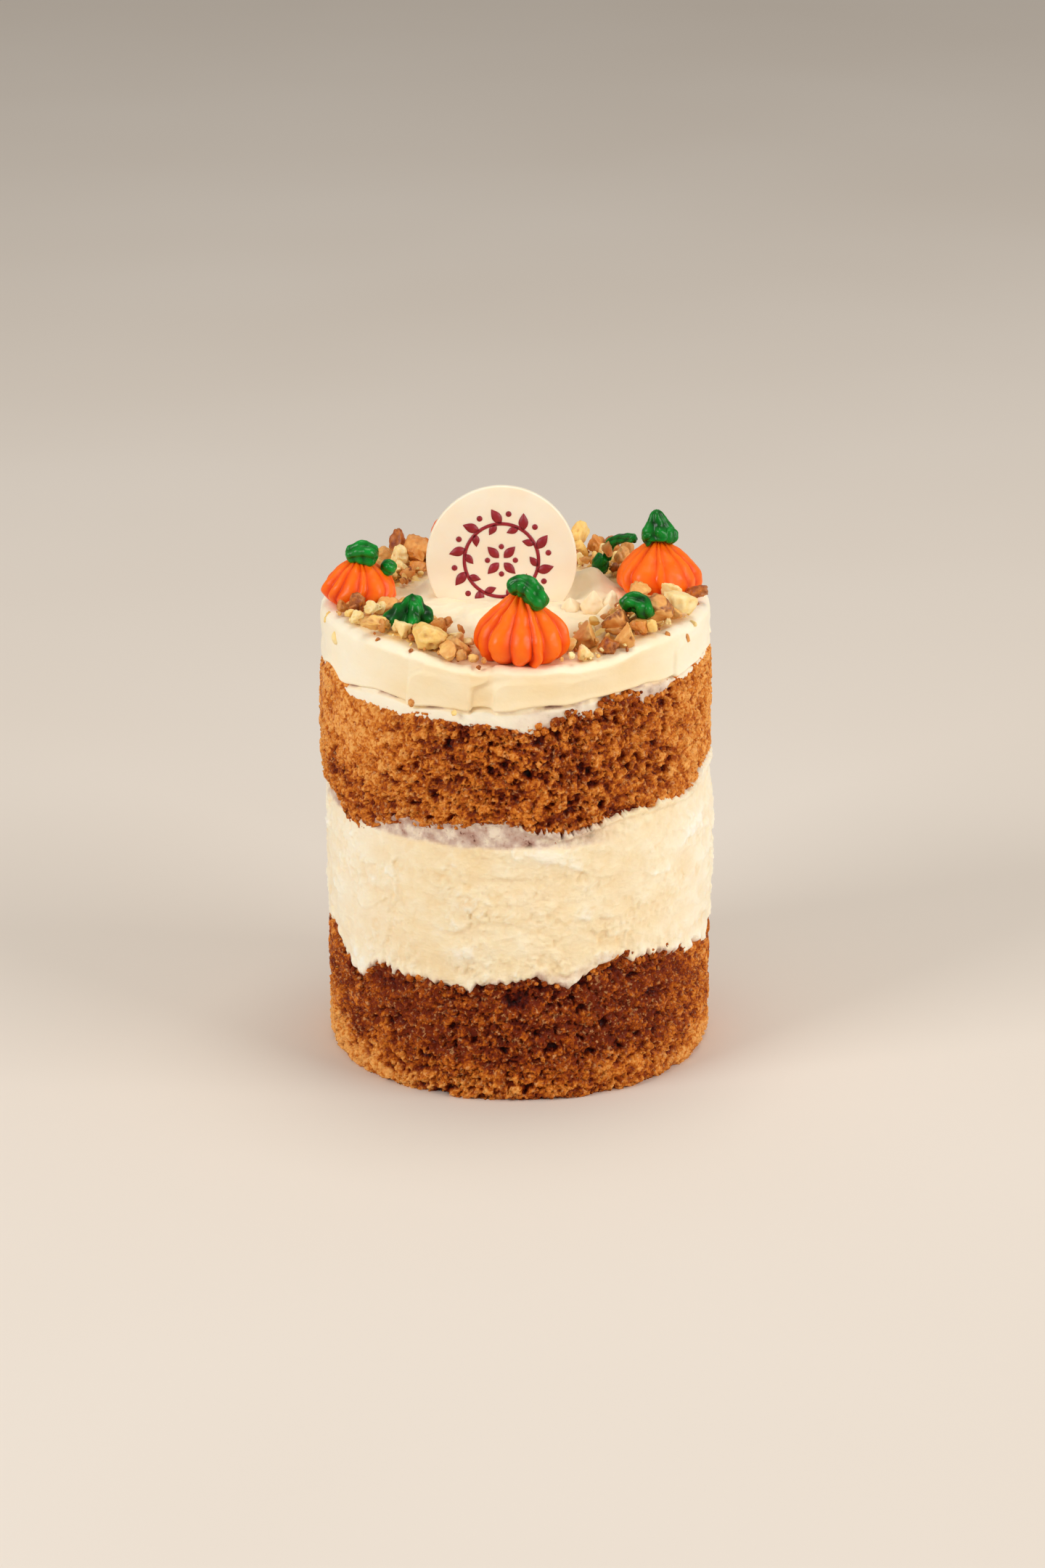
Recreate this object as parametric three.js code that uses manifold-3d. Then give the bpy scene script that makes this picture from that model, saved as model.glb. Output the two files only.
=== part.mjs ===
// A tall small pumpkin cake: sponge, cream, sponge and a thick slab of cream, with piped icing
// pumpkins, chopped walnuts, green icing leaves and a white chocolate disc on top.
// Millimetres, +Z up. The origin is the middle of the base, on the surface the cake stands on,
// and -Y is the front. Azimuths are degrees round the cake: 0 is the front, 90 the right side.
import * as THREE from "three";
import { mergeVertices } from "three/addons/utils/BufferGeometryUtils.js";
import Module from "manifold-3d";

const wasm = await Module();
wasm.setup();

const { degToRad, lerp, smoothstep } = THREE.MathUtils;

// ---- Driving dimensions ----

const CAKE_RADIUS = 50;
const GAP = 0.3; // clear space between two pieces that touch
const COLUMNS = 66; // round every layer, so that two faces of one seam stay parallel
const TOP_LEVEL = 120.5; // the flat of the cream that carries the toppings
const SAME_POINT = 1e-4; // corners closer than this are one
const SEAM_JAG = 1.2; // how far a torn sponge edge wanders up and down
const SEAM_WAVER = 0.8; // and in and out
const FOOT_WEAR = 1.2; // how far the cake's bottom edge is worn back
const CRUMB = 1.5; // how deep the crumb of a cut side is
const SEAM_FLAT = 38; // a seam is level this far out from the axis

// Each layer is a little off the cake's axis and of its own width, as stacked by hand.
const LOWER_SPONGE = { radius: CAKE_RADIUS, shift: 0.4, rows: 7 };
const FILLING = {
  radius: CAKE_RADIUS + 0.5, shift: 0.7, rows: 6, roughness: 0.5, bulge: 0.6, coatStep: 0.5,
};
const UPPER_SPONGE = { radius: CAKE_RADIUS + 0.6, shift: -0.2, rows: 6 };
const CREAM_TOP = { radius: CAKE_RADIUS + 0.3, shift: 0, coatStep: 0.4, shoulder: 2 };

// The seams between layers: the height inside the cake, and [azimuth, height] round its side.
const LOWER_SEAM = {
  level: 32,
  knots: [
    [-150, 32], [-110, 34], [-75, 33.5], [-56, 26], [-45, 32], [-17, 30.5], [5, 33],
    [15, 31], [29, 35.8], [45, 34.4], [74, 31], [105, 34], [150, 31],
  ],
};
const FILLING_SEAM = {
  level: 75,
  knots: [
    [-140, 76], [-100, 74], [-72, 75.5], [-57, 70], [-34, 75.5], [-5, 77], [12, 72.8],
    [35, 76.3], [60, 75.5], [78, 79], [120, 75], [170, 74],
  ],
};
const UPPER_SEAM = {
  level: 104,
  knots: [
    [-130, 105], [-88, 103], [-70, 106.5], [-58, 101.8], [-10, 102.3], [3, 100.3],
    [20, 104], [35, 106.6], [42, 103.8], [55, 107], [80, 107.4], [130, 104], [175, 102.5],
  ],
};
// The lower edge of the thick top slab, over the thin coat that covers the sponge's edge.
const SLAB_KNOTS = [
  [-110, 107.5], [-62, 105.6], [-45, 107.2], [-15, 106.6], [10, 107.8], [30, 109],
  [64, 109.6], [120, 108.5], [175, 107],
];
const SLAB_OVERHANG = 0.9;
const LEAST_COAT = 1.6; // the least height of the thin coat under the slab
const STROKES = { starts: [-176, -140, -100, -70, -33, -7, 52, 95, 138], depth: 1 };

// The cream lies lower under the front pumpkin: full up to one azimuth, and gone by another.
const FRONT_DIP = { depth: 3.3, toward: 2, full: 16, gone: 46, inner: 20, outer: 27 };
// Height and spread of each soft rise or hollow in the middle of the top, which ends in a fade.
const RELIEF_FADE = { from: 22, to: 30 };
const RELIEF = [
  { x: -8, y: -11, height: 1.4, spread: 8 }, // banked in front of the disc
  { x: -19, y: 9, height: 4.2, spread: 7 }, // long soft stroke, left
  { x: 21, y: 11, height: 5.4, spread: 6.4 }, // smooth lump, right
  { x: 14, y: 2, height: -2.2, spread: 3.5 }, // hollow beside the disc
  { x: 2, y: 14, height: 2.5, spread: 8 }, // banked behind the disc
];
// Torn peaks of cream at the disc's right, by place, foot radius, height and lean in degrees. Each
// foot is sunk a little in the cream.
const PEAK = { sunk: 1.2, sides: 7 };
const PEAKS = [
  { x: 14.5, y: -9.5, foot: 3.4, height: 3, lean: -8 },
  { x: 19.5, y: -11, foot: 3.4, height: 5.4, lean: 6 },
  { x: 24, y: -9, foot: 3.2, height: 4.8, lean: 10 },
  { x: 23, y: -14.5, foot: 2.8, height: 2.8, lean: 16 },
];

const TOP_RINGS = [46.5, 29, 23, 17, 11, 5.5]; // radii of the top face's rings, rim to middle

const DISC = {
  radius: 19.5, thickness: 2.4, softened: 0.5, x: -3.6, y: 0.4, z: 130.8, lean: 5.5, sides: 36,
};

const PUMPKIN_PROFILE = [
  [0, 0.76], [0.12, 0.94], [0.3, 1], [0.5, 0.91], [0.68, 0.69], [0.84, 0.43], [0.96, 0.2],
]; // [share of the height, share of the radius]
const SMOOTH_COLUMNS = 20; // round a pumpkin with no ribs
const RIB = { columns: 3, depth: 0.17, uneven: 0.07 }; // one column of three lies in the groove
const PUMPKINS = {
  front: { x: 1.2, y: -38.6, radius: 12.5, height: 16.6, ribs: 13, turn: 4 },
  left: { x: -40.4, y: -2.6, radius: 10.3, height: 12.2, ribs: 12, turn: 12 },
  right: { x: 37.3, y: 4, radius: 11.4, height: 14.2, ribs: 13, turn: -7 },
  back: { x: -12, y: 38, radius: 11.6, height: 16, ribs: 12, turn: 9 },
};

// Green icing is squeezed out in short lumpy ropes: each has the points of its middle line,
// [x, y, z], and the rope's radius at each of them.
const ROPE = { sides: 7, steps: 5, lumps: 0.24, endRing: 0.72, endReach: 0.6 };
const STEMS = {
  front: [
    { line: [[-1.6, -38.8, 134.8], [1, -39.2, 136.2], [3.6, -40.6, 135.2]], radii: [1.6, 2.5, 2.6] },
    { line: [[2.8, -40.2, 135.4], [5, -42, 133.8], [6.8, -43.6, 131.8]], radii: [2.4, 2.8, 2.1] },
  ],
  left: [
    { line: [[-43.8, -3.2, 133.4], [-39.6, -3.6, 134], [-35.4, -3.8, 132.8]], radii: [1.8, 2.6, 2.5] },
  ],
  right: [
    { line: [[37, 4, 134.6], [36.8, 4.2, 138.4], [36.6, 4.4, 142.8]], radii: [3.8, 3.1, 1.2] },
    { line: [[35.6, 3.4, 135.2], [34, 3.2, 135.6], [32.8, 3.2, 135.4]], radii: [2.5, 2.3, 1.7] },
    { line: [[38.4, 3.2, 135.2], [39.8, 3.2, 136.6], [40.4, 3.6, 138.4]], radii: [2.6, 2.5, 1.8] },
  ],
  back: [
    { line: [[-11.4, 38, 134.6], [-8, 37.4, 134.8], [-4, 35.8, 132]], radii: [1.7, 2.4, 2.2] },
  ],
};
const LEAVES = {
  left: [{ line: [[-34.4, -3, 131], [-32.8, -2.6, 129.6], [-31.6, -2.4, 128]], radii: [1.7, 1.9, 1.3] }],
  front_right: [
    { line: [[27.2, -27, 125.8], [29.4, -27.2, 127.6], [32, -28, 126.8], [32.9, -29.4, 123.8]],
      radii: [1.9, 2.4, 2.6, 2.2] },
  ],
  back_right: [
    { line: [[20.2, 17, 124.4], [22.2, 17.6, 124.2], [24.4, 18.4, 124.8]], radii: [1.9, 2.4, 2.1] },
    { line: [[24, 18, 125.2], [25.2, 15.8, 130.2], [28, 13.4, 132.4], [31.4, 9.6, 133.2]],
      radii: [1.2, 1.2, 1.2, 1.1] },
  ],
};
// The folded leaf at the front left: an apex with arms running down from it. spread is how wide an
// arm is in degrees, and levels are [share of the height, share of the width].
const FOLDED_LEAF = {
  columns: 20, spread: 30, levels: [[0, 0.9], [0.14, 1], [0.42, 0.82], [0.74, 0.44]],
  x: -27, y: -25.2, height: 7.4, foot: 2.4, apex: [0.8, 1],
  arms: [{ toward: -80, length: 6.4 }, { toward: 18, length: 5.4 }, { toward: 78, length: 6 }],
};

// The ring of chopped walnuts lies in four heaps between the pumpkins. Each has a thin bed, its
// larger pieces, [azimuth, radius from the axis, size, lift above the bed], and small ones that
// are scattered between them.
const NUT_BED = { inner: 30, outer: 46.5, thickness: 1.6, edge: 0.96, wobble: 1.6, taper: 3.5, step: 7 };
const SMALL_NUTS = { count: 7, least: 3, most: 4.6 };
// A piece is a ball of flat faces, pressed out of round; seat is its middle's height over its size.
const NUT_SHAPE = { least: 0.9, uneven: 0.3, stretch: [1.1, 0.95, 0.82], seat: 0.47 };
const NUT_HEAPS = {
  front_left: {
    from: -77, to: -15,
    pieces: [
      [-70, 43, 5, 0], [-51, 46, 5, 0], [-61, 41, 4.4, 1], [-68, 35.5, 4.4, 0], [-42, 43.5, 5.5, 0],
      [-36, 42, 4, 0], [-29, 42.5, 7.6, 0], [-20, 41.5, 5.7, 0], [-25, 36.5, 4.4, 0],
      [-57, 34, 4.6, 0], [-36, 34, 4, 0], [-21, 46.6, 5, 0], [-62, 46.5, 3.8, 0],
    ],
  },
  front_right: {
    from: 20, to: 80,
    pieces: [
      [28, 38, 7, 0], [23, 45.4, 4.4, 0], [30, 46, 4.6, 0], [37, 46.2, 5.6, 0], [40, 39.5, 6.6, 0],
      [45, 45, 4.8, 0], [54, 44, 8, 0], [68, 45, 7, 0], [66, 38, 5.2, 0.6], [73, 34, 5.4, 1.6],
      [76, 41, 5.2, 2], [58, 36, 4.6, 0], [31, 32.5, 4, 0], [84, 47, 4.2, 0.6],
    ],
  },
  back_right: {
    from: 113, to: 181,
    pieces: [
      [156, 43.5, 6.6, 0.4], [152, 37.5, 4.8, 0], [149, 43, 5.2, 0], [144, 44.5, 4.6, 0.3],
      [142, 39, 4.4, 0.2], [136, 43, 5, 0.6], [130, 37, 5.2, 0.6], [125, 44, 5.2, 0],
      [170, 42, 5.4, 0], [165, 35.5, 4.4, 0], [120, 38.5, 4.4, 0],
    ],
  },
  back_left: {
    from: -151, to: -105,
    pieces: [
      [-142, 43, 5.4, 0.4], [-138, 46, 5.6, 1.6], [-137, 40.5, 7.4, 0.6], [-134, 36, 5.4, 0.6],
      [-130, 33.5, 4, 0], [-120, 34, 5.2, 0], [-126, 44, 5.2, 0], [-113, 40, 5.4, 0],
      [-111, 46, 4.4, 0], [-128, 39.5, 4.8, 1.4],
    ],
  },
};

// ---- Materials ----

const finish = (color, roughness) => new THREE.MeshStandardMaterial({ color, roughness, metalness: 0 });
const MATERIALS = {
  lowerSponge: finish("#a8683a", 0.85),
  upperSponge: finish("#c0813f", 0.85),
  cream: finish("#fbe8c8", 0.5),
  pumpkin: finish("#f87423", 0.45),
  green: finish("#1c7034", 0.4),
  walnut: finish("#d9a970", 0.6),
  chocolate: finish("#f9e6c8", 0.35),
};

// ---- Shared shapes ----

/** A repeatable random source: each call gives a number from 0 to 1. */
function seeded(seed) {
  let state = seed;
  return () => {
    state = (state + 0x6d2b79f5) | 0;
    let mixed = Math.imul(state ^ (state >>> 15), 1 | state);
    mixed = (mixed + Math.imul(mixed ^ (mixed >>> 7), 61 | mixed)) ^ mixed;
    return ((mixed ^ (mixed >>> 14)) >>> 0) / 2 ** 32;
  };
}

/** The point at an azimuth, a distance from the cake's axis and a height. */
function polar(azimuth, radius, height) {
  const angle = degToRad(azimuth);
  return new THREE.Vector3(radius * Math.sin(angle), -radius * Math.cos(angle), height);
}

const azimuthOf = (column) => -180 + (column * 360) / COLUMNS;

/** One closed solid: a fan from the first tip, a band between rings, and a fan to the last tip.
 * Each ring turns anticlockwise seen from the last tip. From the ring turnedFrom on, the bands are
 * split along their other diagonal, as the underside of the layer above is. */
function solidThroughRings(firstTip, rings, lastTip, turnedFrom = Infinity) {
  const count = rings[0].length;
  const points = [firstTip, ...rings.flat(), lastTip];
  const last = points.length - 1;
  const at = (ring, column) => 1 + ring * count + (column % count);
  const triangles = [];
  for (let column = 0; column < count; column++) {
    triangles.push(0, at(0, column + 1), at(0, column));
    for (let ring = 0; ring < rings.length - 1; ring++) {
      const near = at(ring, column);
      const beside = at(ring, column + 1);
      const above = at(ring + 1, column);
      const across = at(ring + 1, column + 1);
      if (ring < turnedFrom) triangles.push(near, beside, across, near, across, above);
      else triangles.push(near, beside, above, beside, across, above);
    }
    triangles.push(last, at(rings.length - 1, column), at(rings.length - 1, column + 1));
  }
  const geometry = new THREE.BufferGeometry().setFromPoints(points);
  geometry.setIndex(triangles);
  geometry.computeVertexNormals();
  return geometry;
}

/** A smooth closed curve of height against azimuth, through [azimuth, height] knots in order. */
function throughKnots(knots) {
  const [firstAt, firstHeight] = knots[0];
  const [lastAt, lastHeight] = knots.at(-1);
  const closed = [[lastAt - 360, lastHeight], ...knots, [firstAt + 360, firstHeight]];
  return (azimuth) => {
    const next = closed.findIndex(([at]) => at > azimuth);
    const [from, fromHeight] = closed[next - 1];
    const [to, toHeight] = closed[next];
    return lerp(fromHeight, toHeight, smoothstep(azimuth, from, to));
  };
}

// ---- Joining and cutting solids ----

/** The solid of a closed geometry. */
function toSolid(geometry) {
  const bare = geometry.clone();
  bare.deleteAttribute("normal");
  bare.deleteAttribute("uv");
  const merged = mergeVertices(bare, SAME_POINT);
  return new wasm.Manifold(
    new wasm.Mesh({
      numProp: 3,
      vertProperties: merged.attributes.position.array,
      triVerts: new Uint32Array(merged.index.array),
    }),
  );
}

/** The geometry of a solid's largest body: scraps that a cut leaves are dropped. */
function toGeometry(solid) {
  const bodies = solid.decompose().sort((a, b) => b.volume() - a.volume());
  const mesh = bodies[0].getMesh();
  const geometry = new THREE.BufferGeometry();
  geometry.setAttribute("position", new THREE.BufferAttribute(mesh.vertProperties, 3));
  geometry.setIndex(new THREE.BufferAttribute(mesh.triVerts, 1));
  geometry.computeVertexNormals();
  return geometry;
}

const fused = (geometries) => geometries.map(toSolid).reduce((all, one) => all.add(one));
const cutBy = (solid, geometries) =>
  geometries.map(toSolid).reduce((left, one) => left.subtract(one), solid);

// ---- Layers ----

/** A seam with its height and reach at each column of the side, torn at random. */
function seamAt({ level, knots }, seed) {
  const random = seeded(seed);
  const curve = throughKnots(knots);
  const edge = [];
  const reach = [];
  for (let column = 0; column < COLUMNS; column++) {
    edge.push(curve(azimuthOf(column)) + SEAM_JAG * (random() - 0.5));
    reach.push(CAKE_RADIUS + SEAM_WAVER * (0.5 - random()));
  }
  return { level, edge, reach };
}

const lowerSeam = seamAt(LOWER_SEAM, 11);
const fillingSeam = seamAt(FILLING_SEAM, 23);
const upperSeam = seamAt(UPPER_SEAM, 37);

/** A ring of points round the cake, from a radius and a height for each column. */
function ringOf(radiusAt, heightAt) {
  const ring = [];
  for (let column = 0; column < COLUMNS; column++) {
    ring.push(polar(azimuthOf(column), radiusAt(column), heightAt(column)));
  }
  return ring;
}

/** The two rings of a seam's face: where its level middle ends and at the cake's side. Both are
 * moved up or down by half a gap. */
function seamRings({ level, edge, reach }, offset) {
  return [
    ringOf(() => SEAM_FLAT, () => level + offset),
    ringOf((column) => reach[column], (column) => edge[column] + offset),
  ];
}

const underSeam = (seam) => seamRings(seam, -GAP / 2).reverse();
const overSeam = (seam) => seamRings(seam, GAP / 2);

/** The distance from the cake's axis to a layer's side, for a layer that is off the axis. */
const sideRadius = ({ radius, shift }, column) => radius + shift * Math.sin(degToRad(azimuthOf(column)));

/** Rings up a layer's side, between its edges. swell(share) is the bulge at a share of the height. */
function sideRings(layer, bottomAt, topAt, swell, roughness, seed) {
  const random = seeded(seed);
  const rings = [];
  for (let row = 1; row < layer.rows; row++) {
    const share = row / layer.rows;
    rings.push(
      ringOf(
        (column) => sideRadius(layer, column) + swell(share) - roughness * random(),
        (column) => lerp(bottomAt(column), topAt(column), share),
      ),
    );
  }
  return rings;
}

const axisPoint = (height) => new THREE.Vector3(0, 0, height);
const crumbSwell = (share) => 0.9 - 0.9 * (2 * share - 1) ** 4;

/** A layer: its rings from the middle of its underside, up its side, to the middle of its top. */
function stacked(bottom, underside, side, face, top) {
  const rings = [...underside, ...side, ...face];
  return solidThroughRings(axisPoint(bottom), rings, axisPoint(top), underside.length + side.length);
}

function lowerSponge() {
  const wear = seeded(3);
  return stacked(
    0,
    [ringOf(() => CAKE_RADIUS - FOOT_WEAR * wear(), () => 0)],
    sideRings(LOWER_SPONGE, () => 0, (column) => lowerSeam.edge[column], crumbSwell, CRUMB, 5),
    underSeam(lowerSeam),
    lowerSeam.level - GAP / 2,
  );
}

function filling() {
  const bottom = (column) => lowerSeam.edge[column];
  const top = (column) => fillingSeam.edge[column];
  const swell = (share) =>
    FILLING.bulge * Math.sin(Math.PI * share) - FILLING.coatStep * smoothstep(share, 0.82, 0.95);
  return stacked(
    lowerSeam.level + GAP / 2,
    overSeam(lowerSeam),
    sideRings(FILLING, bottom, top, swell, FILLING.roughness, 7),
    underSeam(fillingSeam),
    fillingSeam.level - GAP / 2,
  );
}

function upperSponge() {
  const bottom = (column) => fillingSeam.edge[column];
  const top = (column) => upperSeam.edge[column];
  return stacked(
    fillingSeam.level + GAP / 2,
    overSeam(fillingSeam),
    sideRings(UPPER_SPONGE, bottom, top, crumbSwell, CRUMB, 9),
    underSeam(upperSeam),
    upperSeam.level - GAP / 2,
  );
}

/** The height of the cream's top face at a point. */
function topHeight(x, y) {
  const radius = Math.hypot(x, y);
  const azimuth = THREE.MathUtils.radToDeg(Math.atan2(x, -y));
  const { depth, toward, full, gone, inner, outer } = FRONT_DIP;
  const beyond = Math.abs(azimuth - toward);
  const dip = depth * smoothstep(radius, inner, outer) * (1 - smoothstep(beyond, full, gone));
  const relief = RELIEF.reduce((sum, { x: atX, y: atY, height, spread }) => {
    const distance = Math.hypot(x - atX, y - atY) / spread;
    return sum + height * Math.exp(-distance * distance);
  }, 0);
  return TOP_LEVEL - dip + relief * (1 - smoothstep(radius, RELIEF_FADE.from, RELIEF_FADE.to));
}

/** How far a spatula stroke stands out of the slab: full where it starts, and fading along it. */
function strokeDepth(azimuth) {
  const { starts, depth } = STROKES;
  const next = starts.findIndex((start) => start > azimuth);
  const start = next < 0 ? starts.at(-1) : (starts[next - 1] ?? starts.at(-1) - 360);
  const end = next < 0 ? starts[0] + 360 : starts[next];
  return depth * (1 - (azimuth - start) / (end - start)) ** 1.5;
}

function creamTop() {
  const slabCurve = throughKnots(SLAB_KNOTS);
  const slabBottom = (column) =>
    Math.max(slabCurve(azimuthOf(column)), upperSeam.edge[column] + LEAST_COAT);
  const side = (column) => sideRadius(CREAM_TOP, column);
  const stroked = (column) => side(column) + strokeDepth(azimuthOf(column));
  const rim = (column) => {
    const { x, y } = polar(azimuthOf(column), CAKE_RADIUS - 4, 0);
    return topHeight(x, y);
  };
  const middle = (column) => (slabBottom(column) + rim(column)) / 2;
  const { coatStep, shoulder } = CREAM_TOP;
  const topRing = (radius) =>
    ringOf(
      () => radius,
      (column) => {
        const { x, y } = polar(azimuthOf(column), radius, 0);
        return topHeight(x, y);
      },
    );
  const body = stacked(
    upperSeam.level + GAP / 2,
    overSeam(upperSeam),
    [
      ringOf((column) => side(column) - coatStep, (column) => slabBottom(column) - 0.2),
      ringOf((column) => stroked(column) + SLAB_OVERHANG / 2, (column) => slabBottom(column) + 0.3),
      ringOf(stroked, middle),
      ringOf(stroked, (column) => rim(column) - shoulder),
      ringOf((column) => side(column) - shoulder / 2, (column) => rim(column) - shoulder / 5),
    ],
    TOP_RINGS.map(topRing),
    topHeight(0, 0),
  );
  return toGeometry(cutBy(fused([body, ...PEAKS.map(creamPeak)]), [placedDisc(GAP)]));
}

/** A torn peak of cream, its foot sunk in the top face. */
function creamPeak({ x, y, foot, height, lean }) {
  const { sunk, sides } = PEAK;
  const peak = new THREE.ConeGeometry(foot, height + sunk, sides);
  peak.rotateX(Math.PI / 2);
  peak.translate(0, 0, (height - sunk) / 2);
  peak.rotateY(degToRad(lean));
  peak.translate(x, y, topHeight(x, y));
  return peak;
}

// ---- Disc ----

/** The disc about its own middle, its flat faces along Y, grown all round by a margin. */
function discShape(margin) {
  const radius = DISC.radius + margin;
  const half = DISC.thickness / 2 + margin;
  const edge = DISC.softened;
  const profile = [
    [0, -half], [radius - edge, -half], [radius, edge - half],
    [radius, half - edge], [radius - edge, half], [0, half],
  ];
  return new THREE.LatheGeometry(
    profile.map(([across, along]) => new THREE.Vector2(across, along)),
    DISC.sides,
  );
}

function placedDisc(margin) {
  const geometry = discShape(margin);
  geometry.rotateX(degToRad(-DISC.lean));
  geometry.translate(DISC.x, DISC.y, DISC.z);
  return geometry;
}

// ---- Pumpkins ----

/** A piped pumpkin: ridges from a star nozzle, closing to a point. Smooth if it isn't ribbed. */
function pumpkinShape(pumpkin, { margin = 0, ribbed = true } = {}) {
  const { x, y, radius, height, ribs, turn } = pumpkin;
  const random = seeded(Math.round(100 * radius + turn));
  const ribSize = Array.from({ length: ribs }, () => 1 - RIB.uneven * random());
  const columns = ribbed ? ribs * RIB.columns : SMOOTH_COLUMNS;
  const seat = topHeight(x, y) + GAP;
  const groove = (column) => {
    if (!ribbed) return 1;
    const size = ribSize[Math.floor(column / RIB.columns)];
    return column % RIB.columns === 0 ? size * (1 - RIB.depth) : size;
  };
  const rings = PUMPKIN_PROFILE.map(([rise, width]) => {
    const ring = [];
    for (let column = 0; column < columns; column++) {
      const angle = degToRad((360 * column) / columns + turn * (1 + 2 * rise));
      const reach = radius * width * groove(column) + margin;
      const level = seat - margin + rise * (height + 2 * margin);
      ring.push(new THREE.Vector3(x + reach * Math.sin(angle), y - reach * Math.cos(angle), level));
    }
    return ring;
  });
  const foot = new THREE.Vector3(x, y, seat - margin);
  const tip = new THREE.Vector3(x, y, seat + height + margin);
  return solidThroughRings(foot, rings, tip);
}

// ---- Green icing ----

/** A lumpy rope of icing along a curve, rounded at both ends and grown by a margin. */
function icingRope({ line, radii }, margin = 0) {
  const { sides, steps, lumps, endRing, endReach } = ROPE;
  const curve = new THREE.CatmullRomCurve3(line.map((point) => new THREE.Vector3(...point)));
  const frames = curve.computeFrenetFrames(steps);
  const random = seeded(Math.round(31 * line[0][0] + 17 * radii[0]));
  const rings = [];
  for (let step = 0; step <= steps; step++) {
    const share = step / steps;
    const along = share * (radii.length - 1);
    const before = Math.min(Math.floor(along), radii.length - 2);
    const thick = lerp(radii[before], radii[before + 1], along - before);
    const rounding = step === 0 || step === steps ? endRing : 1;
    const middle = curve.getPoint(share);
    const ring = [];
    for (let side = 0; side < sides; side++) {
      const angle = (2 * Math.PI * side) / sides;
      const reach = thick * rounding * (1 + lumps * (random() - 0.5)) + margin;
      ring.push(
        middle
          .clone()
          .addScaledVector(frames.normals[step], reach * Math.cos(angle))
          .addScaledVector(frames.binormals[step], reach * Math.sin(angle)),
      );
    }
    rings.push(ring);
  }
  const tip = (step, reach) =>
    curve.getPoint(step / steps).addScaledVector(frames.tangents[step], reach);
  return solidThroughRings(
    tip(0, -endReach * radii[0] - margin),
    rings,
    tip(steps, endReach * radii.at(-1) + margin),
  );
}

const ropes = (parts, margin) => parts.map((part) => icingRope(part, margin));

/** Icing ropes fused together and trimmed to sit on a pumpkin. */
function trimmedTo(pumpkin, parts) {
  const seat = pumpkinShape(pumpkin, { margin: GAP, ribbed: false });
  return toGeometry(cutBy(fused(ropes(parts)), [seat]));
}

/** The folded leaf: ridges run down from its apex along the arms, with hollows between them. */
function foldedLeaf(margin = 0) {
  const { columns, spread, levels, x, y, height, foot, apex, arms } = FOLDED_LEAF;
  const floor = topHeight(x, y) + NUT_BED.thickness + 2.5 * GAP - margin;
  const outline = (azimuth) =>
    arms.reduce((most, { toward, length }) => {
      const off = Math.abs(((azimuth - toward + 540) % 360) - 180) / spread;
      return Math.max(most, foot + (length - foot) * Math.exp(-off * off));
    }, foot);
  const rings = levels.map(([rise, width]) => {
    const ring = [];
    for (let column = 0; column < columns; column++) {
      const azimuth = (360 * column) / columns;
      const { x: acrossX, y: acrossY } = polar(azimuth, outline(azimuth) * width + margin, 0);
      const level = floor + rise * (height + 2 * margin);
      ring.push(new THREE.Vector3(x + apex[0] * rise + acrossX, y + apex[1] * rise + acrossY, level));
    }
    return ring;
  });
  return solidThroughRings(
    new THREE.Vector3(x, y, floor),
    rings,
    new THREE.Vector3(x + apex[0], y + apex[1], floor + height + 2 * margin),
  );
}

// ---- Walnuts ----

/** The bed of a heap: an arc of crumbs of uneven width that lies on the cream. */
function nutBed({ from, to }, random) {
  const { inner, outer, thickness, edge, wobble, taper, step } = NUT_BED;
  const steps = Math.round((to - from) / step);
  const rings = [];
  for (let index = 0; index <= steps; index++) {
    const azimuth = lerp(from, to, index / steps);
    const narrowed = index === 0 || index === steps ? taper : 0;
    const near = inner + narrowed + wobble * (random() - 0.5);
    const far = outer - narrowed - wobble * random();
    const point = (radius, rise) => {
      const { x, y } = polar(azimuth, radius, 0);
      return new THREE.Vector3(x, y, topHeight(x, y) + GAP + rise);
    };
    const middle = (near + far) / 2;
    rings.push([
      point(near, 0), point(near, edge), point(middle, thickness),
      point(far, edge), point(far, 0), point(middle, 0),
    ]);
  }
  const end = (ring) =>
    ring.reduce((sum, point) => sum.add(point), new THREE.Vector3()).divideScalar(ring.length);
  return solidThroughRings(end(rings[0]), rings, end(rings.at(-1)));
}

/** A chopped piece: a block of irregular flat faces, resting on the bed. */
function nutPiece([azimuth, radius, size, lift], block, random) {
  block.deleteAttribute("normal");
  block.deleteAttribute("uv");
  const piece = mergeVertices(block, SAME_POINT);
  const position = piece.attributes.position;
  for (let index = 0; index < position.count; index++) {
    const corner = new THREE.Vector3().fromBufferAttribute(position, index);
    corner.multiplyScalar((size / 2) * (NUT_SHAPE.least + NUT_SHAPE.uneven * random()));
    position.setXYZ(index, corner.x, corner.y, corner.z);
  }
  piece.rotateX(Math.PI * random());
  piece.rotateZ(2 * Math.PI * random());
  piece.scale(...NUT_SHAPE.stretch);
  piece.rotateZ(2 * Math.PI * random());
  const { x, y } = polar(azimuth, radius, 0);
  piece.translate(x, y, topHeight(x, y) + GAP + NUT_SHAPE.seat * size + lift);
  return piece;
}

/** Small pieces scattered over a heap's bed. */
function smallNuts({ from, to }, random) {
  const { inner, outer } = NUT_BED;
  const { count, least, most } = SMALL_NUTS;
  return Array.from({ length: count }, () => {
    const place = [lerp(from, to, random()), lerp(inner + 2, outer - 1, random())];
    return nutPiece([...place, lerp(least, most, random()), 0], new THREE.OctahedronGeometry(1.1), random);
  });
}

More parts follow.
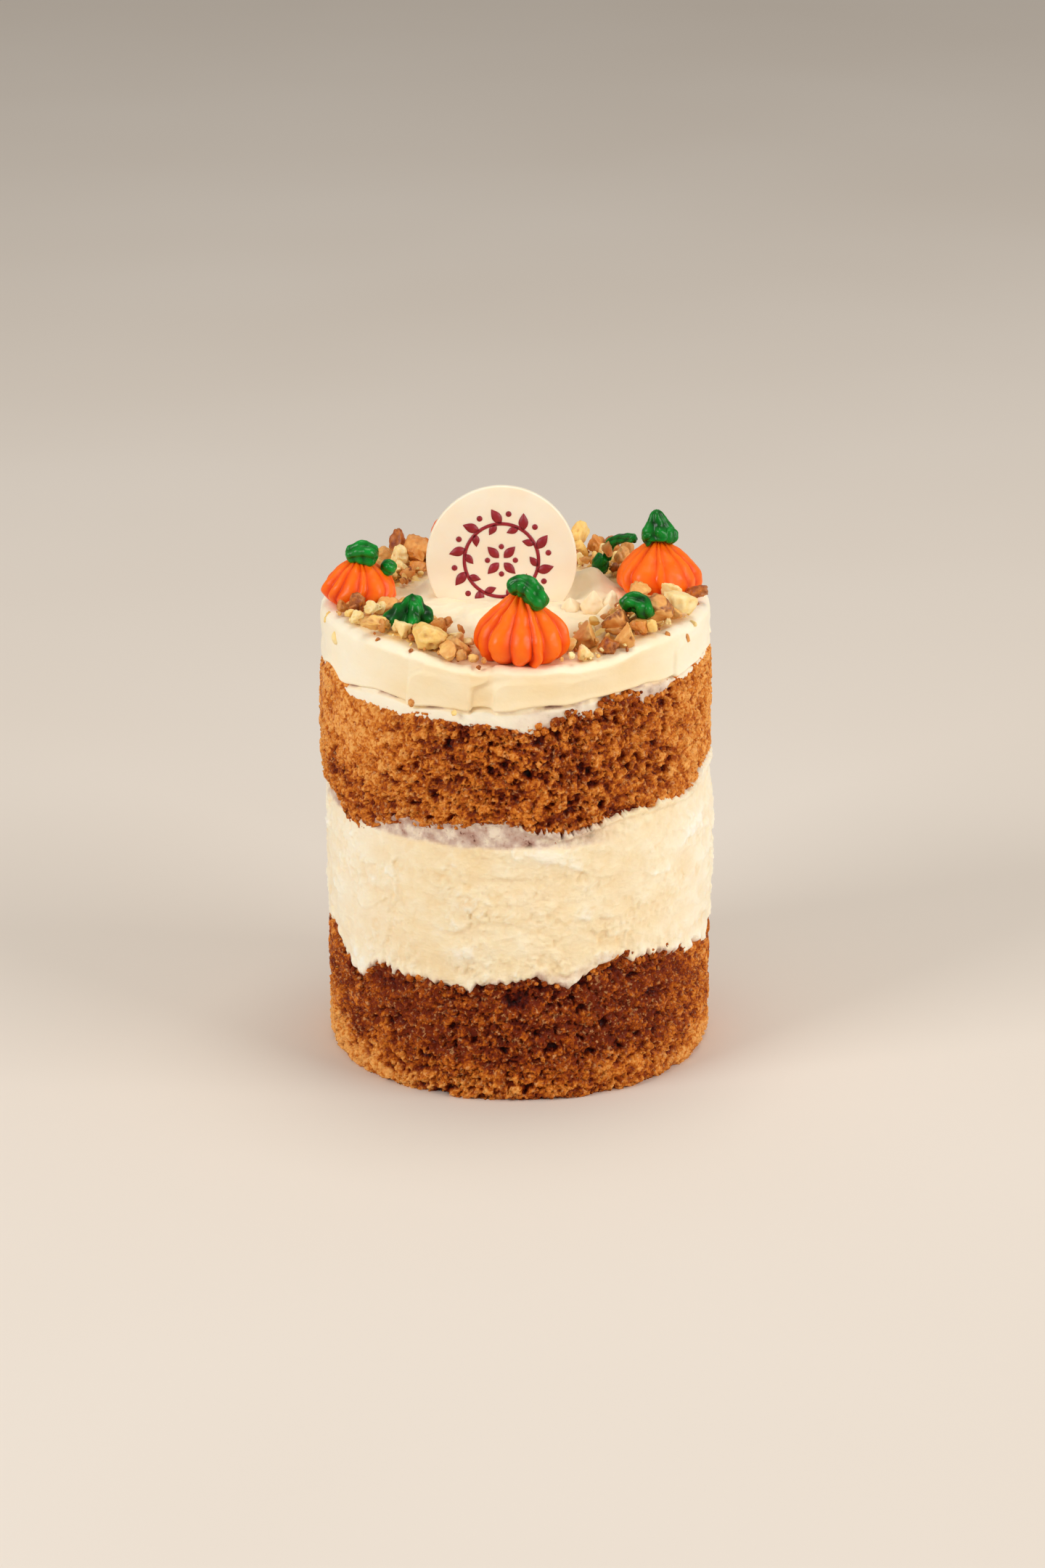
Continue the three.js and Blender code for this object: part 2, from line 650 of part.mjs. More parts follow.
/** A heap: its pieces fused to its bed, then cut clear of the toppings beside it. */
function nutHeap(heap, seed, toppings) {
  const random = seeded(seed);
  const bed = nutBed(heap, random);
  const pieces = heap.pieces.map((piece) => nutPiece(piece, new THREE.IcosahedronGeometry(1), random));
  return toGeometry(cutBy(fused([bed, ...pieces, ...smallNuts(heap, random)]), toppings));
}

// ---- The cake ----

const cake = new THREE.Group();

function add(name, geometry, material) {
  const mesh = new THREE.Mesh(geometry, material);
  mesh.name = name;
  cake.add(mesh);
  return mesh;
}

add("sponge_lower", lowerSponge(), MATERIALS.lowerSponge);
add("cream_filling", filling(), MATERIALS.cream);
add("sponge_upper", upperSponge(), MATERIALS.upperSponge);
add("cream_top", creamTop(), MATERIALS.cream);

for (const [place, pumpkin] of Object.entries(PUMPKINS)) {
  add(`pumpkin_${place}`, pumpkinShape(pumpkin), MATERIALS.pumpkin);
  add(`stem_${place}`, trimmedTo(pumpkin, STEMS[place]), MATERIALS.green);
}

add("leaf_left", trimmedTo(PUMPKINS.left, LEAVES.left), MATERIALS.green);
add("leaf_front_left", foldedLeaf(), MATERIALS.green);
add("leaf_front_right", toGeometry(fused(ropes(LEAVES.front_right))), MATERIALS.green);
add("leaf_back_right", trimmedTo(PUMPKINS.right, LEAVES.back_right), MATERIALS.green);

const keptClear = [
  ...Object.values(PUMPKINS).map((pumpkin) => pumpkinShape(pumpkin, { margin: GAP, ribbed: false })),
  ...Object.values(LEAVES).flatMap((parts) => ropes(parts, GAP)),
  foldedLeaf(GAP),
];
Object.entries(NUT_HEAPS).forEach(([place, heap], index) => {
  add(`nuts_${place}`, nutHeap(heap, 41 + index, keptClear), MATERIALS.walnut);
});

const disc = add("chocolate_disc", discShape(0), MATERIALS.chocolate);
disc.position.set(DISC.x, DISC.y, DISC.z);
disc.rotation.x = degToRad(-DISC.lean);

export default cake;
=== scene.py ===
import math
from itertools import product

import bpy
import numpy as np
from mathutils import Matrix, Vector


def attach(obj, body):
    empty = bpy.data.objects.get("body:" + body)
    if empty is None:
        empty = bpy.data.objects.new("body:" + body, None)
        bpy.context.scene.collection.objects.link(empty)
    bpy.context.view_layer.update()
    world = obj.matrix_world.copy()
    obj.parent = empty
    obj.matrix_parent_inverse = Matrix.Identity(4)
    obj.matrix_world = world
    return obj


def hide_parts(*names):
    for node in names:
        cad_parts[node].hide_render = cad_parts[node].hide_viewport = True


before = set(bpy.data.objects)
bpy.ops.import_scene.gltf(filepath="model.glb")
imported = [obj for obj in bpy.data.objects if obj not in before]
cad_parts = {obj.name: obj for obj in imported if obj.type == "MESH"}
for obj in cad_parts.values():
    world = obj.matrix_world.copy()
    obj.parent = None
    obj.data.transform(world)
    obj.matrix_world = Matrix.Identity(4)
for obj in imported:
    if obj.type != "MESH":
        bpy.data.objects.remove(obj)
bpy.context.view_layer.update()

MM = 0.001

# ---- Driving dimensions. The CAD has the same ones for what its solids show ----

CAKE_RADIUS = 50.0
GAP = 0.3
TOP_LEVEL = 120.5
# The layers: radius, how far their middle is shifted to the right, and the levels inside the cake.
LOWER_SPONGE = dict(radius=CAKE_RADIUS, shift=0.4, bottom=0, top=32, seed=500)
FILLING = dict(radius=CAKE_RADIUS + 0.5, shift=0.7, bulge=0.6, bottom=32, top=75)
UPPER_SPONGE = dict(radius=CAKE_RADIUS + 0.6, shift=-0.2, bottom=75, top=104, seed=700)
CREAM_TOP = dict(radius=CAKE_RADIUS + 0.3, shift=0.0, coat_step=0.4, shoulder=2.0, bottom=104)

# The edges between layers, as knots of azimuth and height.
LOWER_SEAM = [
    (-150, 32), (-110, 34), (-75, 33.5), (-56, 26), (-45, 32), (-17, 30.5), (5, 33),
    (15, 31), (29, 35.8), (45, 34.4), (74, 31), (105, 34), (150, 31),
]
FILLING_SEAM = [
    (-140, 76), (-100, 74), (-72, 75.5), (-57, 70), (-34, 75.5), (-5, 77), (12, 72.8),
    (35, 76.3), (60, 75.5), (78, 79), (120, 75), (170, 74),
]
UPPER_SEAM = [
    (-130, 105), (-88, 103), (-70, 106.5), (-58, 101.8), (-10, 102.3), (3, 100.3),
    (20, 104), (35, 106.6), (42, 103.8), (55, 107), (80, 107.4), (130, 104), (175, 102.5),
]
SLAB_EDGE = [
    (-110, 107.5), (-62, 105.6), (-45, 107.2), (-15, 106.6), (10, 107.8), (30, 109),
    (64, 109.6), (120, 108.5), (175, 107),
]
LEAST_COAT = 1.6  # the thin coat shows at least this far below the slab
# Spatula strokes round the slab: where each starts and ends, and how far it stands out there.
STROKES = [
    (-176, -140, 0.9, 0.1), (-140, -100, 0.9, 0.1), (-100, -70, 0.8, 0.3), (-70, -33, 0.4, 0.1),
    (-33, -13.6, 1.2, 0.6), (-13.6, -7, -0.4, 0.1), (-7, 14, 1.1, 0.6), (14, 52, 0.6, 0.0),
    (52, 95, 0.85, 0.1), (95, 138, 0.9, 0.1), (138, 184, 0.9, 0.1),
]
STROKE_BOW = 0.45  # how far the middle of a stroke lies behind its ends
FRONT_DIP = dict(depth=3.3, toward=2, full=16, gone=46, inner=20, outer=27)
RELIEF_FADE = (22, 30)
RELIEF = [  # x, y, height, spread
    (-8, -11, 1.4, 8), (-19, 9, 4.2, 7), (21, 11, 5.4, 6.4), (14, 2, -2.2, 3.5), (2, 14, 2.5, 8),
]
PEAKS = [  # x, y, foot radius, height, lean
    (14.5, -9.5, 3.4, 3, -8), (19.5, -11, 3.4, 5.4, 6), (24, -9, 3.2, 4.8, 10),
    (23, -14.5, 2.8, 2.8, 16),
]
DISC = dict(radius=19.5, thickness=2.4, softened=0.5, x=-3.6, y=0.4, z=130.8, lean=5.5)

PUMPKIN_PROFILE = [  # share of the height, share of the radius
    (0, 0.76), (0.12, 0.94), (0.3, 1), (0.5, 0.91), (0.68, 0.69), (0.84, 0.43), (0.96, 0.2),
]
RIB_DEPTH = 0.17
PUMPKINS = {
    "front": dict(x=1.2, y=-38.6, radius=12.5, height=16.6, ribs=13, turn=4),
    "left": dict(x=-40.4, y=-2.6, radius=10.3, height=12.2, ribs=12, turn=12),
    "right": dict(x=37.3, y=4, radius=11.4, height=14.2, ribs=13, turn=-7),
    "back": dict(x=-12, y=38, radius=11.6, height=16, ribs=12, turn=9),
}
# Ropes of green icing, each as x, y, z and radius along its middle line.
STEMS = {
    "front": [
        [(-1.8, -38.8, 134.6, 1.5), (1, -39.2, 136.2, 2.5), (3.9, -41, 135, 2.8), (6.9, -43.7, 131.6, 2)],
    ],
    "left": [[(-43.8, -3.2, 133.4, 1.8), (-39.6, -3.6, 134, 2.6), (-35.4, -3.8, 132.8, 2.5)]],
    "right": [
        [(37, 4, 134.6, 3.8), (36.8, 4.2, 138.4, 3.1), (36.6, 4.4, 142.8, 1.2)],
        [(35.6, 3.4, 135.2, 2.5), (34, 3.2, 135.6, 2.3), (32.8, 3.2, 135.4, 1.7)],
        [(38.4, 3.2, 135.2, 2.6), (39.8, 3.2, 136.6, 2.5), (40.4, 3.6, 138.4, 1.8)],
    ],
    "back": [[(-11.4, 38, 134.6, 1.7), (-8, 37.4, 134.8, 2.4), (-4, 35.8, 132, 2.2)]],
}
LEAVES = {
    "left": [[(-34.4, -3, 131, 1.7), (-32.8, -2.6, 129.6, 1.9), (-31.6, -2.4, 128, 1.3)]],
    "front_right": [
        [
            (27.2, -27, 125.8, 1.9), (29.4, -27.2, 127.6, 2.4), (32, -28, 126.8, 2.6),
            (32.9, -29.4, 123.8, 2.2),
        ],
    ],
    "back_right": [
        [(20.2, 17, 124.4, 1.9), (22.2, 17.6, 124.2, 2.4), (24.4, 18.4, 124.8, 2.1)],
        [(24, 18, 125.2, 1.2), (25.2, 15.8, 130.2, 1.2), (28, 13.4, 132.4, 1.2), (31.4, 9.6, 133.2, 1.1)],
    ],
}
# The folded leaf: where its apex leans to, its arms as azimuth and length, and its outline's share
# of the full width at shares of the height.
FOLDED_LEAF = dict(
    x=-27.0, y=-25.2, height=7.4, foot=2.4, apex=(0.8, 1),
    arms=[(-80, 6.4), (18, 5.4), (78, 6)],
    levels=[(0, 0.9), (0.14, 1), (0.42, 0.82), (0.74, 0.44), (1, 0.04)],
    spread=30,
)

NUT_BED = dict(inner=30.0, outer=46.5, thickness=1.6)
# The larger walnut pieces of each heap: azimuth, radius from the axis, size, lift above the bed and
# tone. The strays on the cake's rim and side: azimuth, radius, height, size and tone.
NUT_HEAPS = {
    "front_left": dict(
        strays=[
            (-77, 49.4, 118.6, 3.2, "gold"), (-66, 50.2, 116.6, 2.8, "cream"),
            (-31, 51.3, 106.9, 1.9, "amber"), (-17.5, 51.3, 105.9, 1.4, "gold"),
            (-13, 47.6, 119.6, 2.4, "tan"), (-9.5, 48.4, 119.2, 1.7, "amber"),
            (-11, 49.4, 117.6, 1.3, "dark"), (-16.5, 47, 120, 2.8, "pink"),
            (-46, 48.6, 120.4, 1.2, "dark"), (-33, 48.4, 119.6, 1.3, "dark"),
        ],
        span=(-77, -15),
        pieces=[
            (-70, 43, 5, 0, "dark"), (-51, 46, 5, 0, "tan"), (-61, 41, 4.4, 1, "cream"),
            (-68, 35.5, 4.4, 0, "pink"), (-42, 43.5, 5.5, 0, "cream"), (-36, 42, 4, 0, "tan"),
            (-29, 42.5, 7.6, 0, "gold"), (-20, 41.5, 5.7, 0, "tan"), (-25, 36.5, 4.4, 0, "cream"),
            (-57, 34, 4.6, 0, "gold"), (-36, 34, 4, 0, "amber"), (-21, 46.6, 5, 0, "pink"),
            (-62, 46.5, 3.8, 0, "cream"),
        ],
    ),
    "front_right": dict(
        strays=[
            (60, 50.6, 117.6, 2.0, "amber"), (17, 47.2, 119.6, 2.0, "cream"),
            (52, 48.8, 120, 1.6, "amber"), (66, 49.4, 119.8, 2.2, "cream"),
            (35, 48.6, 119.4, 1.2, "dark"), (14, 48.2, 119.2, 1.2, "pink"),
        ],
        span=(20, 80),
        pieces=[
            (28, 38, 7, 0, "pink"), (23, 45.4, 4.4, 0, "cream"), (30, 46, 4.6, 0, "dark"),
            (37, 46.2, 5.6, 0, "pink"), (40, 39.5, 6.6, 0, "skin"), (45, 45, 4.8, 0, "amber"),
            (54, 44, 8, 0, "skin"), (68, 45, 7, 0, "cream"), (66, 38, 5.2, 0.6, "pink"),
            (73, 34, 5.4, 1.6, "pink"), (76, 41, 5.2, 2, "cream"), (58, 36, 4.6, 0, "tan"),
            (31, 32.5, 4, 0, "cream"), (84, 47, 4.2, 0.6, "dark"),
        ],
    ),
    "back_right": dict(
        strays=[(121, 28.6, 128.6, 3.6, "pink")],
        span=(113, 181),
        pieces=[
            (156, 43.5, 6.6, 0.4, "gold"), (152, 37.5, 4.8, 0, "gold"), (149, 43, 5.2, 0, "amber"),
            (144, 44.5, 4.6, 0.3, "dark"), (142, 39, 4.4, 0.2, "cream"), (136, 43, 5, 0.6, "pink"),
            (130, 37, 5.2, 0.6, "pink"), (125, 44, 5.2, 0, "cream"), (170, 42, 5.4, 0, "tan"),
            (165, 35.5, 4.4, 0, "gold"), (120, 38.5, 4.4, 0, "tan"),
        ],
    ),
    "back_left": dict(
        span=(-151, -105),
        pieces=[
            (-142, 43, 5.4, 0.4, "tan"), (-138, 46, 5.6, 1.6, "dark"), (-137, 40.5, 7.4, 0.6, "amber"),
            (-134, 36, 5.4, 0.6, "amber"), (-130, 33.5, 4, 0, "amber"), (-120, 34, 5.2, 0, "cream"),
            (-126, 44, 5.2, 0, "pink"), (-113, 40, 5.4, 0, "tan"), (-111, 46, 4.4, 0, "gold"),
            (-128, 39.5, 4.8, 1.4, "cream"),
        ],
    ),
}

# ---- Numbers spread over space. Points lie on any grid, with x, y and z on the last axis ----


def triples(*values):
    """Three values for each point, on a last axis of three."""
    return np.stack(np.broadcast_arrays(*values), axis=-1)


def polar(azimuth, radius, height):
    """Points from azimuth, distance from the axis and height."""
    angle = np.radians(azimuth)
    return triples(radius * np.sin(angle), -radius * np.cos(angle), height)


def hashed(cell, seed):
    """A repeatable number from 0 to 1 for each cell of a lattice, given by whole numbers."""
    x, y, z = np.moveaxis(cell.astype(np.uint32), -1, 0)
    mixed = x * np.uint32(73856093) ^ y * np.uint32(19349663) ^ z * np.uint32(83492791)
    mixed = mixed ^ np.uint32(seed * 2654435761 % 2**32)
    mixed = (mixed ^ mixed >> np.uint32(16)) * np.uint32(0x7FEB352D)
    mixed = (mixed ^ mixed >> np.uint32(15)) * np.uint32(0x846CA68B)
    return (mixed ^ mixed >> np.uint32(16)) / 2.0**32


def three_hashed(cell, seed):
    return triples(*(hashed(cell, seed + axis) for axis in range(3)))


def noise(points, size, seed):
    """Smooth noise, about -1 to 1, with bumps about size across."""
    place = points / size
    corner = np.floor(place).astype(np.int64)
    within = place - corner
    rise = within**3 * (within * (within * 6 - 15) + 10)
    total = 0
    for step in product((0, 1), repeat=3):
        slope = three_hashed(corner + step, seed) * 2 - 1
        weight = np.where(step, rise, 1 - rise).prod(axis=-1)
        total = total + weight * ((within - step) * slope).sum(axis=-1)
    return total * 1.6


def layered(points, size, octaves, seed):
    """Noise with finer and fainter noise on it."""
    return sum(noise(points, size / 2**k, seed + 7 * k) / 2**k for k in range(octaves))


def waves(points, *parts):
    """Noises added up, each given by its height, size and seed."""
    return sum(height * noise(points, size, seed) for height, size, seed in parts)


def bend(points, size, octaves, seed, apart):
    """A smooth shift along each axis, with seeds that lie apart."""
    return triples(*(layered(points, size, octaves, seed + apart * axis) for axis in range(3)))


def cells(points, size, seed):
    """For each point: the distance to the nearest of scattered centres and to the next nearest, in
    sizes, and a number from 0 to 1 that belongs to the nearest one."""
    place = points / size
    corner = np.floor(place).astype(np.int64)
    nearest = following = np.full(place.shape[:-1], np.inf)
    mark = 0.0
    for step in product((-1, 0, 1), repeat=3):
        cell = corner + step
        distance = np.linalg.norm(place - (cell + three_hashed(cell, seed)), axis=-1)
        closer = distance < nearest
        following = np.where(closer, nearest, np.minimum(following, distance))
        mark = np.where(closer, hashed(cell, seed + 3), mark)
        nearest = np.where(closer, distance, nearest)
    return nearest, following, mark


def ease(value, low, high):
    """0 below low, 1 above high, and a smooth rise between them. low may be the larger."""
    share = np.clip((value - low) / (high - low), 0, 1)
    return share * share * (3 - 2 * share)


def through_knots(knots):
    """A smooth closed curve of height against azimuth."""
    (first, first_height), (last, last_height) = knots[0], knots[-1]
    at, height = np.array([(last - 360, last_height), *knots, (first + 360, first_height)]).T

    def curve(azimuth):
        azimuth = (azimuth + 180) % 360 - 180
        after = np.clip(np.searchsorted(at, azimuth, side="right"), 1, len(at) - 1)
        share = ease(azimuth, at[after - 1], at[after])
        return height[after - 1] + share * (height[after] - height[after - 1])

    return curve


def spline(knots, count):
    """count points along a smooth curve through the knots."""
    knots = np.array(knots, float)
    padded = np.vstack([2 * knots[0] - knots[1], knots, 2 * knots[-1] - knots[-2]])
    at = np.linspace(0, len(knots) - 1, count)
    start = np.minimum(at.astype(int), len(knots) - 2)
    t = (at - start)[:, None]
    a, b, c, d = (padded[start + k] for k in range(4))
    square = 2 * a - 5 * b + 4 * c - d
    cube = 3 * b - a - 3 * c + d
    return 0.5 * (2 * b + (c - a) * t + square * t**2 + cube * t**3)


def columns_of(count):
    """The azimuths of a ring's points."""
    return np.arange(count) * 360 / count - 180


def rows_of(count):
    """Shares from 0 to 1, one for each ring."""
    return np.linspace(0, 1, count)[:, None]


def turns_of(count):
    """The angles of a small ring's points."""
    return np.radians(np.arange(count) * 360 / count)


def around(azimuth, middle, gone, full):
    """A smooth change with distance from an azimuth: 0 at gone degrees from it and 1 at full ones."""
    return ease(np.abs(azimuth - middle), gone, full)


def pushed(points, centre, push):
    """Points moved away from a centre, each by its own push."""
    away = points - centre
    return points + away / np.linalg.norm(away, axis=-1)[..., None] * push[..., None]


# ---- Shapes ----


class Shape:
    """Points, faces and, for each point, the three numbers that its material reads."""

    def __init__(self, points, faces, marks=None):
        self.points = points
        self.faces = faces
        self.marks = np.zeros((len(points), 3)) if marks is None else marks


def joined(shapes):
    """One shape from several."""
    faces = []
    start = 0
    for shape in shapes:
        faces += [group + start for group in shape.faces]
        start += len(shape.points)
    points = np.vstack([shape.points for shape in shapes])
    return Shape(points, faces, np.vstack([shape.marks for shape in shapes]))


def through_rings(first_tip, rings, last_tip, marks=None):
    """A closed skin: a fan from the first tip, bands between rings, and a fan to the last tip. rings
    is (rows, columns, 3), and marks, if any, (rows, columns, 3) too."""
    rows, columns = rings.shape[:2]
    points = np.vstack([[first_tip], rings.reshape(-1, 3), [last_tip]])
    column = np.arange(columns)
    beside = (column + 1) % columns
    start = 1 + columns * np.arange(rows)[:, None]
    low, high, last = start[:-1], start[1:], start[-1]
    bands = np.stack([low + column, low + beside, high + beside, high + column], axis=-1)
    fans = [triples(0, 1 + beside, 1 + column), triples(len(points) - 1, last + column, last + beside)]
    if marks is not None:
        marks = np.vstack([[marks[0, 0]], marks.reshape(-1, 3), [marks[-1, 0]]])
    return Shape(points, [bands.reshape(-1, 4), *fans], marks)


def ball(level):
    """The points and faces of a sphere of triangles, a unit in radius."""
    bpy.ops.mesh.primitive_ico_sphere_add(subdivisions=level, radius=1.0)
    made = bpy.context.object
    mesh = made.data
    points = np.array([vertex.co[:] for vertex in mesh.vertices])
    faces = np.array([face.vertices[:] for face in mesh.polygons])
    bpy.data.objects.remove(made)
    bpy.data.meshes.remove(mesh)
    return points, faces


COARSE, MEDIUM, FINE = 2, 3, 4  # how finely a ball is divided
BALLS = {level: ball(level) for level in (COARSE, MEDIUM, FINE)}


def make(name, shape, material, slot, *nodes):
    """The object of a shape, riding on the cake and standing for the CAD nodes."""
    mesh = bpy.data.meshes.new(name)
    faces = [face for group in shape.faces for face in group.tolist()]
    mesh.from_pydata((shape.points * MM).tolist(), [], faces)
    mesh.polygons.foreach_set("use_smooth", [True] * len(mesh.polygons))
    marks = mesh.attributes.new("marks", "FLOAT_VECTOR", "POINT")
    marks.data.foreach_set("vector", shape.marks.ravel())
    mesh.materials.append(material)
    piece = bpy.data.objects.new(name, mesh)
    bpy.context.scene.collection.objects.link(piece)
    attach(piece, "root")
    if nodes:
        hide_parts(*nodes)
    return piece


# ---- Materials. Their sizes are in millimetres, and colours as seen on a screen, 0 to 255 ----


def srgb(*color):
    """A screen colour as the light values that a shader takes."""
    def linear(value):
        value /= 255
        return value / 12.92 if value <= 0.04045 else ((value + 0.055) / 1.055) ** 2.4
    return (*map(linear, color), 1.0)


class Surface:
    """A procedural material. Its methods add nodes and return the output to link on."""

    def __init__(self, name, roughness, subsurface=0.0, radius=(1, 0.5, 0.25), scale=1.0, specular=0.5):
        self.material = bpy.data.materials.new(name)
        self.material.use_nodes = True
        self.tree = self.material.node_tree
        self.shader = self.tree.nodes["Principled BSDF"]
        sockets = {
            "Roughness": roughness, "Specular IOR Level": specular, "Subsurface Weight": subsurface,
            "Subsurface Radius": radius, "Subsurface Scale": scale * MM,
        }
        for socket, value in sockets.items():
            self.shader.inputs[socket].default_value = value
        self.place = self.add("ShaderNodeTexCoord").outputs["Object"]

    def add(self, kind, **settings):
        node = self.tree.nodes.new(kind)
        for key, value in settings.items():
            setattr(node, key, value)
        return node

    def link(self, source, target):
        if isinstance(source, (int, float, tuple)):
            target.default_value = source
        else:
            self.tree.links.new(source, target)

    def marks(self):
        """The three numbers stored at each point of the mesh."""
        stored = self.add("ShaderNodeAttribute", attribute_name="marks")
        split = self.add("ShaderNodeSeparateXYZ")
        self.link(stored.outputs["Vector"], split.inputs[0])
        return split.outputs["X"], split.outputs["Y"], split.outputs["Z"]

    def noise(self, size, detail=3.0, stretch=(1, 1, 1)):
        """Noise with bumps about size across."""
        scaled = self.add("ShaderNodeVectorMath", operation="MULTIPLY")
        self.link(self.place, scaled.inputs[0])
        scaled.inputs[1].default_value = [1 / (size * MM * along) for along in stretch]
        node = self.add("ShaderNodeTexNoise")
        node.inputs["Scale"].default_value = 1.0
        node.inputs["Detail"].default_value = detail
        self.link(scaled.outputs[0], node.inputs["Vector"])
        return node.outputs["Fac"]

    def facets(self, size):
        """The distance to the nearest of centres about size apart."""
        node = self.add("ShaderNodeTexVoronoi")
        node.inputs["Scale"].default_value = 1 / (size * MM)
        self.link(self.place, node.inputs["Vector"])
        return node.outputs["Distance"]

    def ramp(self, value, *stops):
        """A colour for each value, from stops of place and screen colour."""
        node = self.add("ShaderNodeValToRGB")
        elements = node.color_ramp.elements
        while len(elements) < len(stops):
            elements.new(0.5)
        for element, (place, color) in zip(elements, stops):
            element.position = place
            element.color = srgb(*color)
        self.link(value, node.inputs[0])
        return node.outputs["Color"]

    def fit(self, value, low, high, to_low=0.0, to_high=1.0):
        """value moved from one range to another, and held inside it."""
        node = self.add("ShaderNodeMapRange")
        for index, number in enumerate((low, high, to_low, to_high), start=1):
            node.inputs[index].default_value = number
        self.link(value, node.inputs[0])
        return node.outputs[0]

    def mix(self, share, first, second, blend="MIX"):
        """Two colours mixed by a share."""
        node = self.add("ShaderNodeMix", data_type="RGBA", blend_type=blend)
        self.link(share, node.inputs[0])
        self.link(first, node.inputs[6])
        self.link(second, node.inputs[7])
        return node.outputs[2]

    def math(self, operation, first, second):
        node = self.add("ShaderNodeMath", operation=operation)
        self.link(first, node.inputs[0])
        self.link(second, node.inputs[1])
        return node.outputs[0]

    def vary(self, value, by, low, high, reach):
        """value moved down or up by up to reach, as another one goes from low to high."""
        return self.math("ADD", value, self.fit(by, low, high, -reach, reach))

    def bump(self, height, distance, strength=1.0):
        """Fine relief from a height that runs from 0 to 1, as deep as distance."""
        node = self.add("ShaderNodeBump")
        node.inputs["Strength"].default_value = strength
        node.inputs["Distance"].default_value = distance * MM
        self.link(height, node.inputs["Height"])
        self.link(node.outputs[0], self.shader.inputs["Normal"])

    def color(self, value):
        self.link(value, self.shader.inputs["Base Color"])

    def roughness(self, value):
        self.link(value, self.shader.inputs["Roughness"])


CREAMY = (1, 0.75, 0.45)  # how far red, green and blue light spread in cream and chocolate


def sponge_material():
    """Moist crumb. Marks: how golden it is, how far out it stands, which darkens the pits with painted
    shade and puts painted glints on the crumbs that stand out, and a number for each grain.
    """
    surface = Surface("sponge", 0.45, specular=0.14)
    golden, outward, grain = surface.marks()
    tone = surface.vary(golden, surface.noise(0.8, 3), 0.3, 0.7, 0.26)
    tone = surface.vary(tone, grain, 0.2, 0.8, 0.3)
    body = surface.ramp(
        tone, (0.0, (118, 38, 0)), (0.3, (168, 78, 8)), (0.6, (214, 124, 38)), (1.0, (246, 178, 98))
    )
    # Painted shade: the crumb is multiplied darker the deeper it lies in a pit.
    pit = surface.ramp(outward, (0.0, (46, 8, 0)), (0.4, (170, 110, 70)), (0.8, (255, 250, 240)))
    crumbs = surface.mix(1.0, body, pit, "MULTIPLY")
    # Painted glints: light flecks on the crumbs that stand out.
    painted_glint = surface.fit(surface.noise(1.1, 2), 0.58, 0.7)
    painted_glint = surface.math("MULTIPLY", painted_glint, surface.fit(outward, 0.5, 0.75, 0, 0.42))
    surface.color(surface.mix(painted_glint, crumbs, srgb(255, 196, 128)))
    surface.bump(surface.math("ADD", surface.noise(0.5, 3), surface.facets(0.7)), 0.28, 0.8)
    surface.roughness(surface.fit(surface.noise(0.8, 2), 0.36, 0.6, 0.14, 0.85))
    return surface.material


def cream_material(name, grain):
    """Whipped cream. Marks: how thin it is smeared over sponge, which also paints the shadow line in the
    gap under the slab; yellow stains, with painted shade in the recesses and at the front on the same
    mark; and whiteness, with painted light on the raised relief and at the sides on the same mark.
    """
    surface = Surface(name, 0.5, subsurface=0.3, radius=CREAMY, scale=1.3, specular=0.3)
    thin, stain_and_painted_shade, whiteness_and_painted_light = surface.marks()
    cloud = surface.noise(9, 3, (1, 1, 0.6))
    body = surface.ramp(cloud, (0.35, (255, 237, 204)), (0.65, (254, 232, 192)))
    body = surface.mix(whiteness_and_painted_light, body, srgb(255, 247, 230))
    body = surface.mix(stain_and_painted_shade, body, srgb(238, 198, 130))
    streaks = surface.fit(surface.noise(0.7, 2), 0.25, 0.4, -0.14, 0)
    # Sponge seen through thinly smeared cream; its dark end also paints the shadow line in the gap under
    # the slab.
    smear = surface.ramp(
        surface.math("ADD", surface.noise(3.4, 3), streaks),
        (0.28, (104, 54, 36)), (0.36, (182, 142, 124)), (0.5, (206, 178, 160)), (0.64, (238, 220, 196)),
    )
    surface.color(surface.mix(thin, body, smear))
    surface.bump(surface.noise(1.2, 5, (1, 1, 0.7)), grain, 0.7)
    return surface.material


def icing_material(name, valley, body, tip, roughness):
    """Piped icing. Marks: how far out of a groove it lies, which runs the colour from painted shade in
    the grooves to a painted highlight on the crests, and a number for each rib.
    """
    surface = Surface(name, roughness, specular=0.28)
    outward, rib, _ = surface.marks()
    shade = surface.vary(outward, surface.noise(3, 3), 0.3, 0.7, 0.12)
    shade = surface.vary(shade, rib, 0, 1, 0.1)
    surface.color(surface.ramp(shade, (0.0, valley), (0.45, body), (1.0, tip)))
    surface.bump(surface.noise(1.2, 5), 0.12, 0.5)
    surface.roughness(surface.fit(surface.noise(2, 3), 0.3, 0.7, roughness - 0.08, roughness + 0.12))
    return surface.material


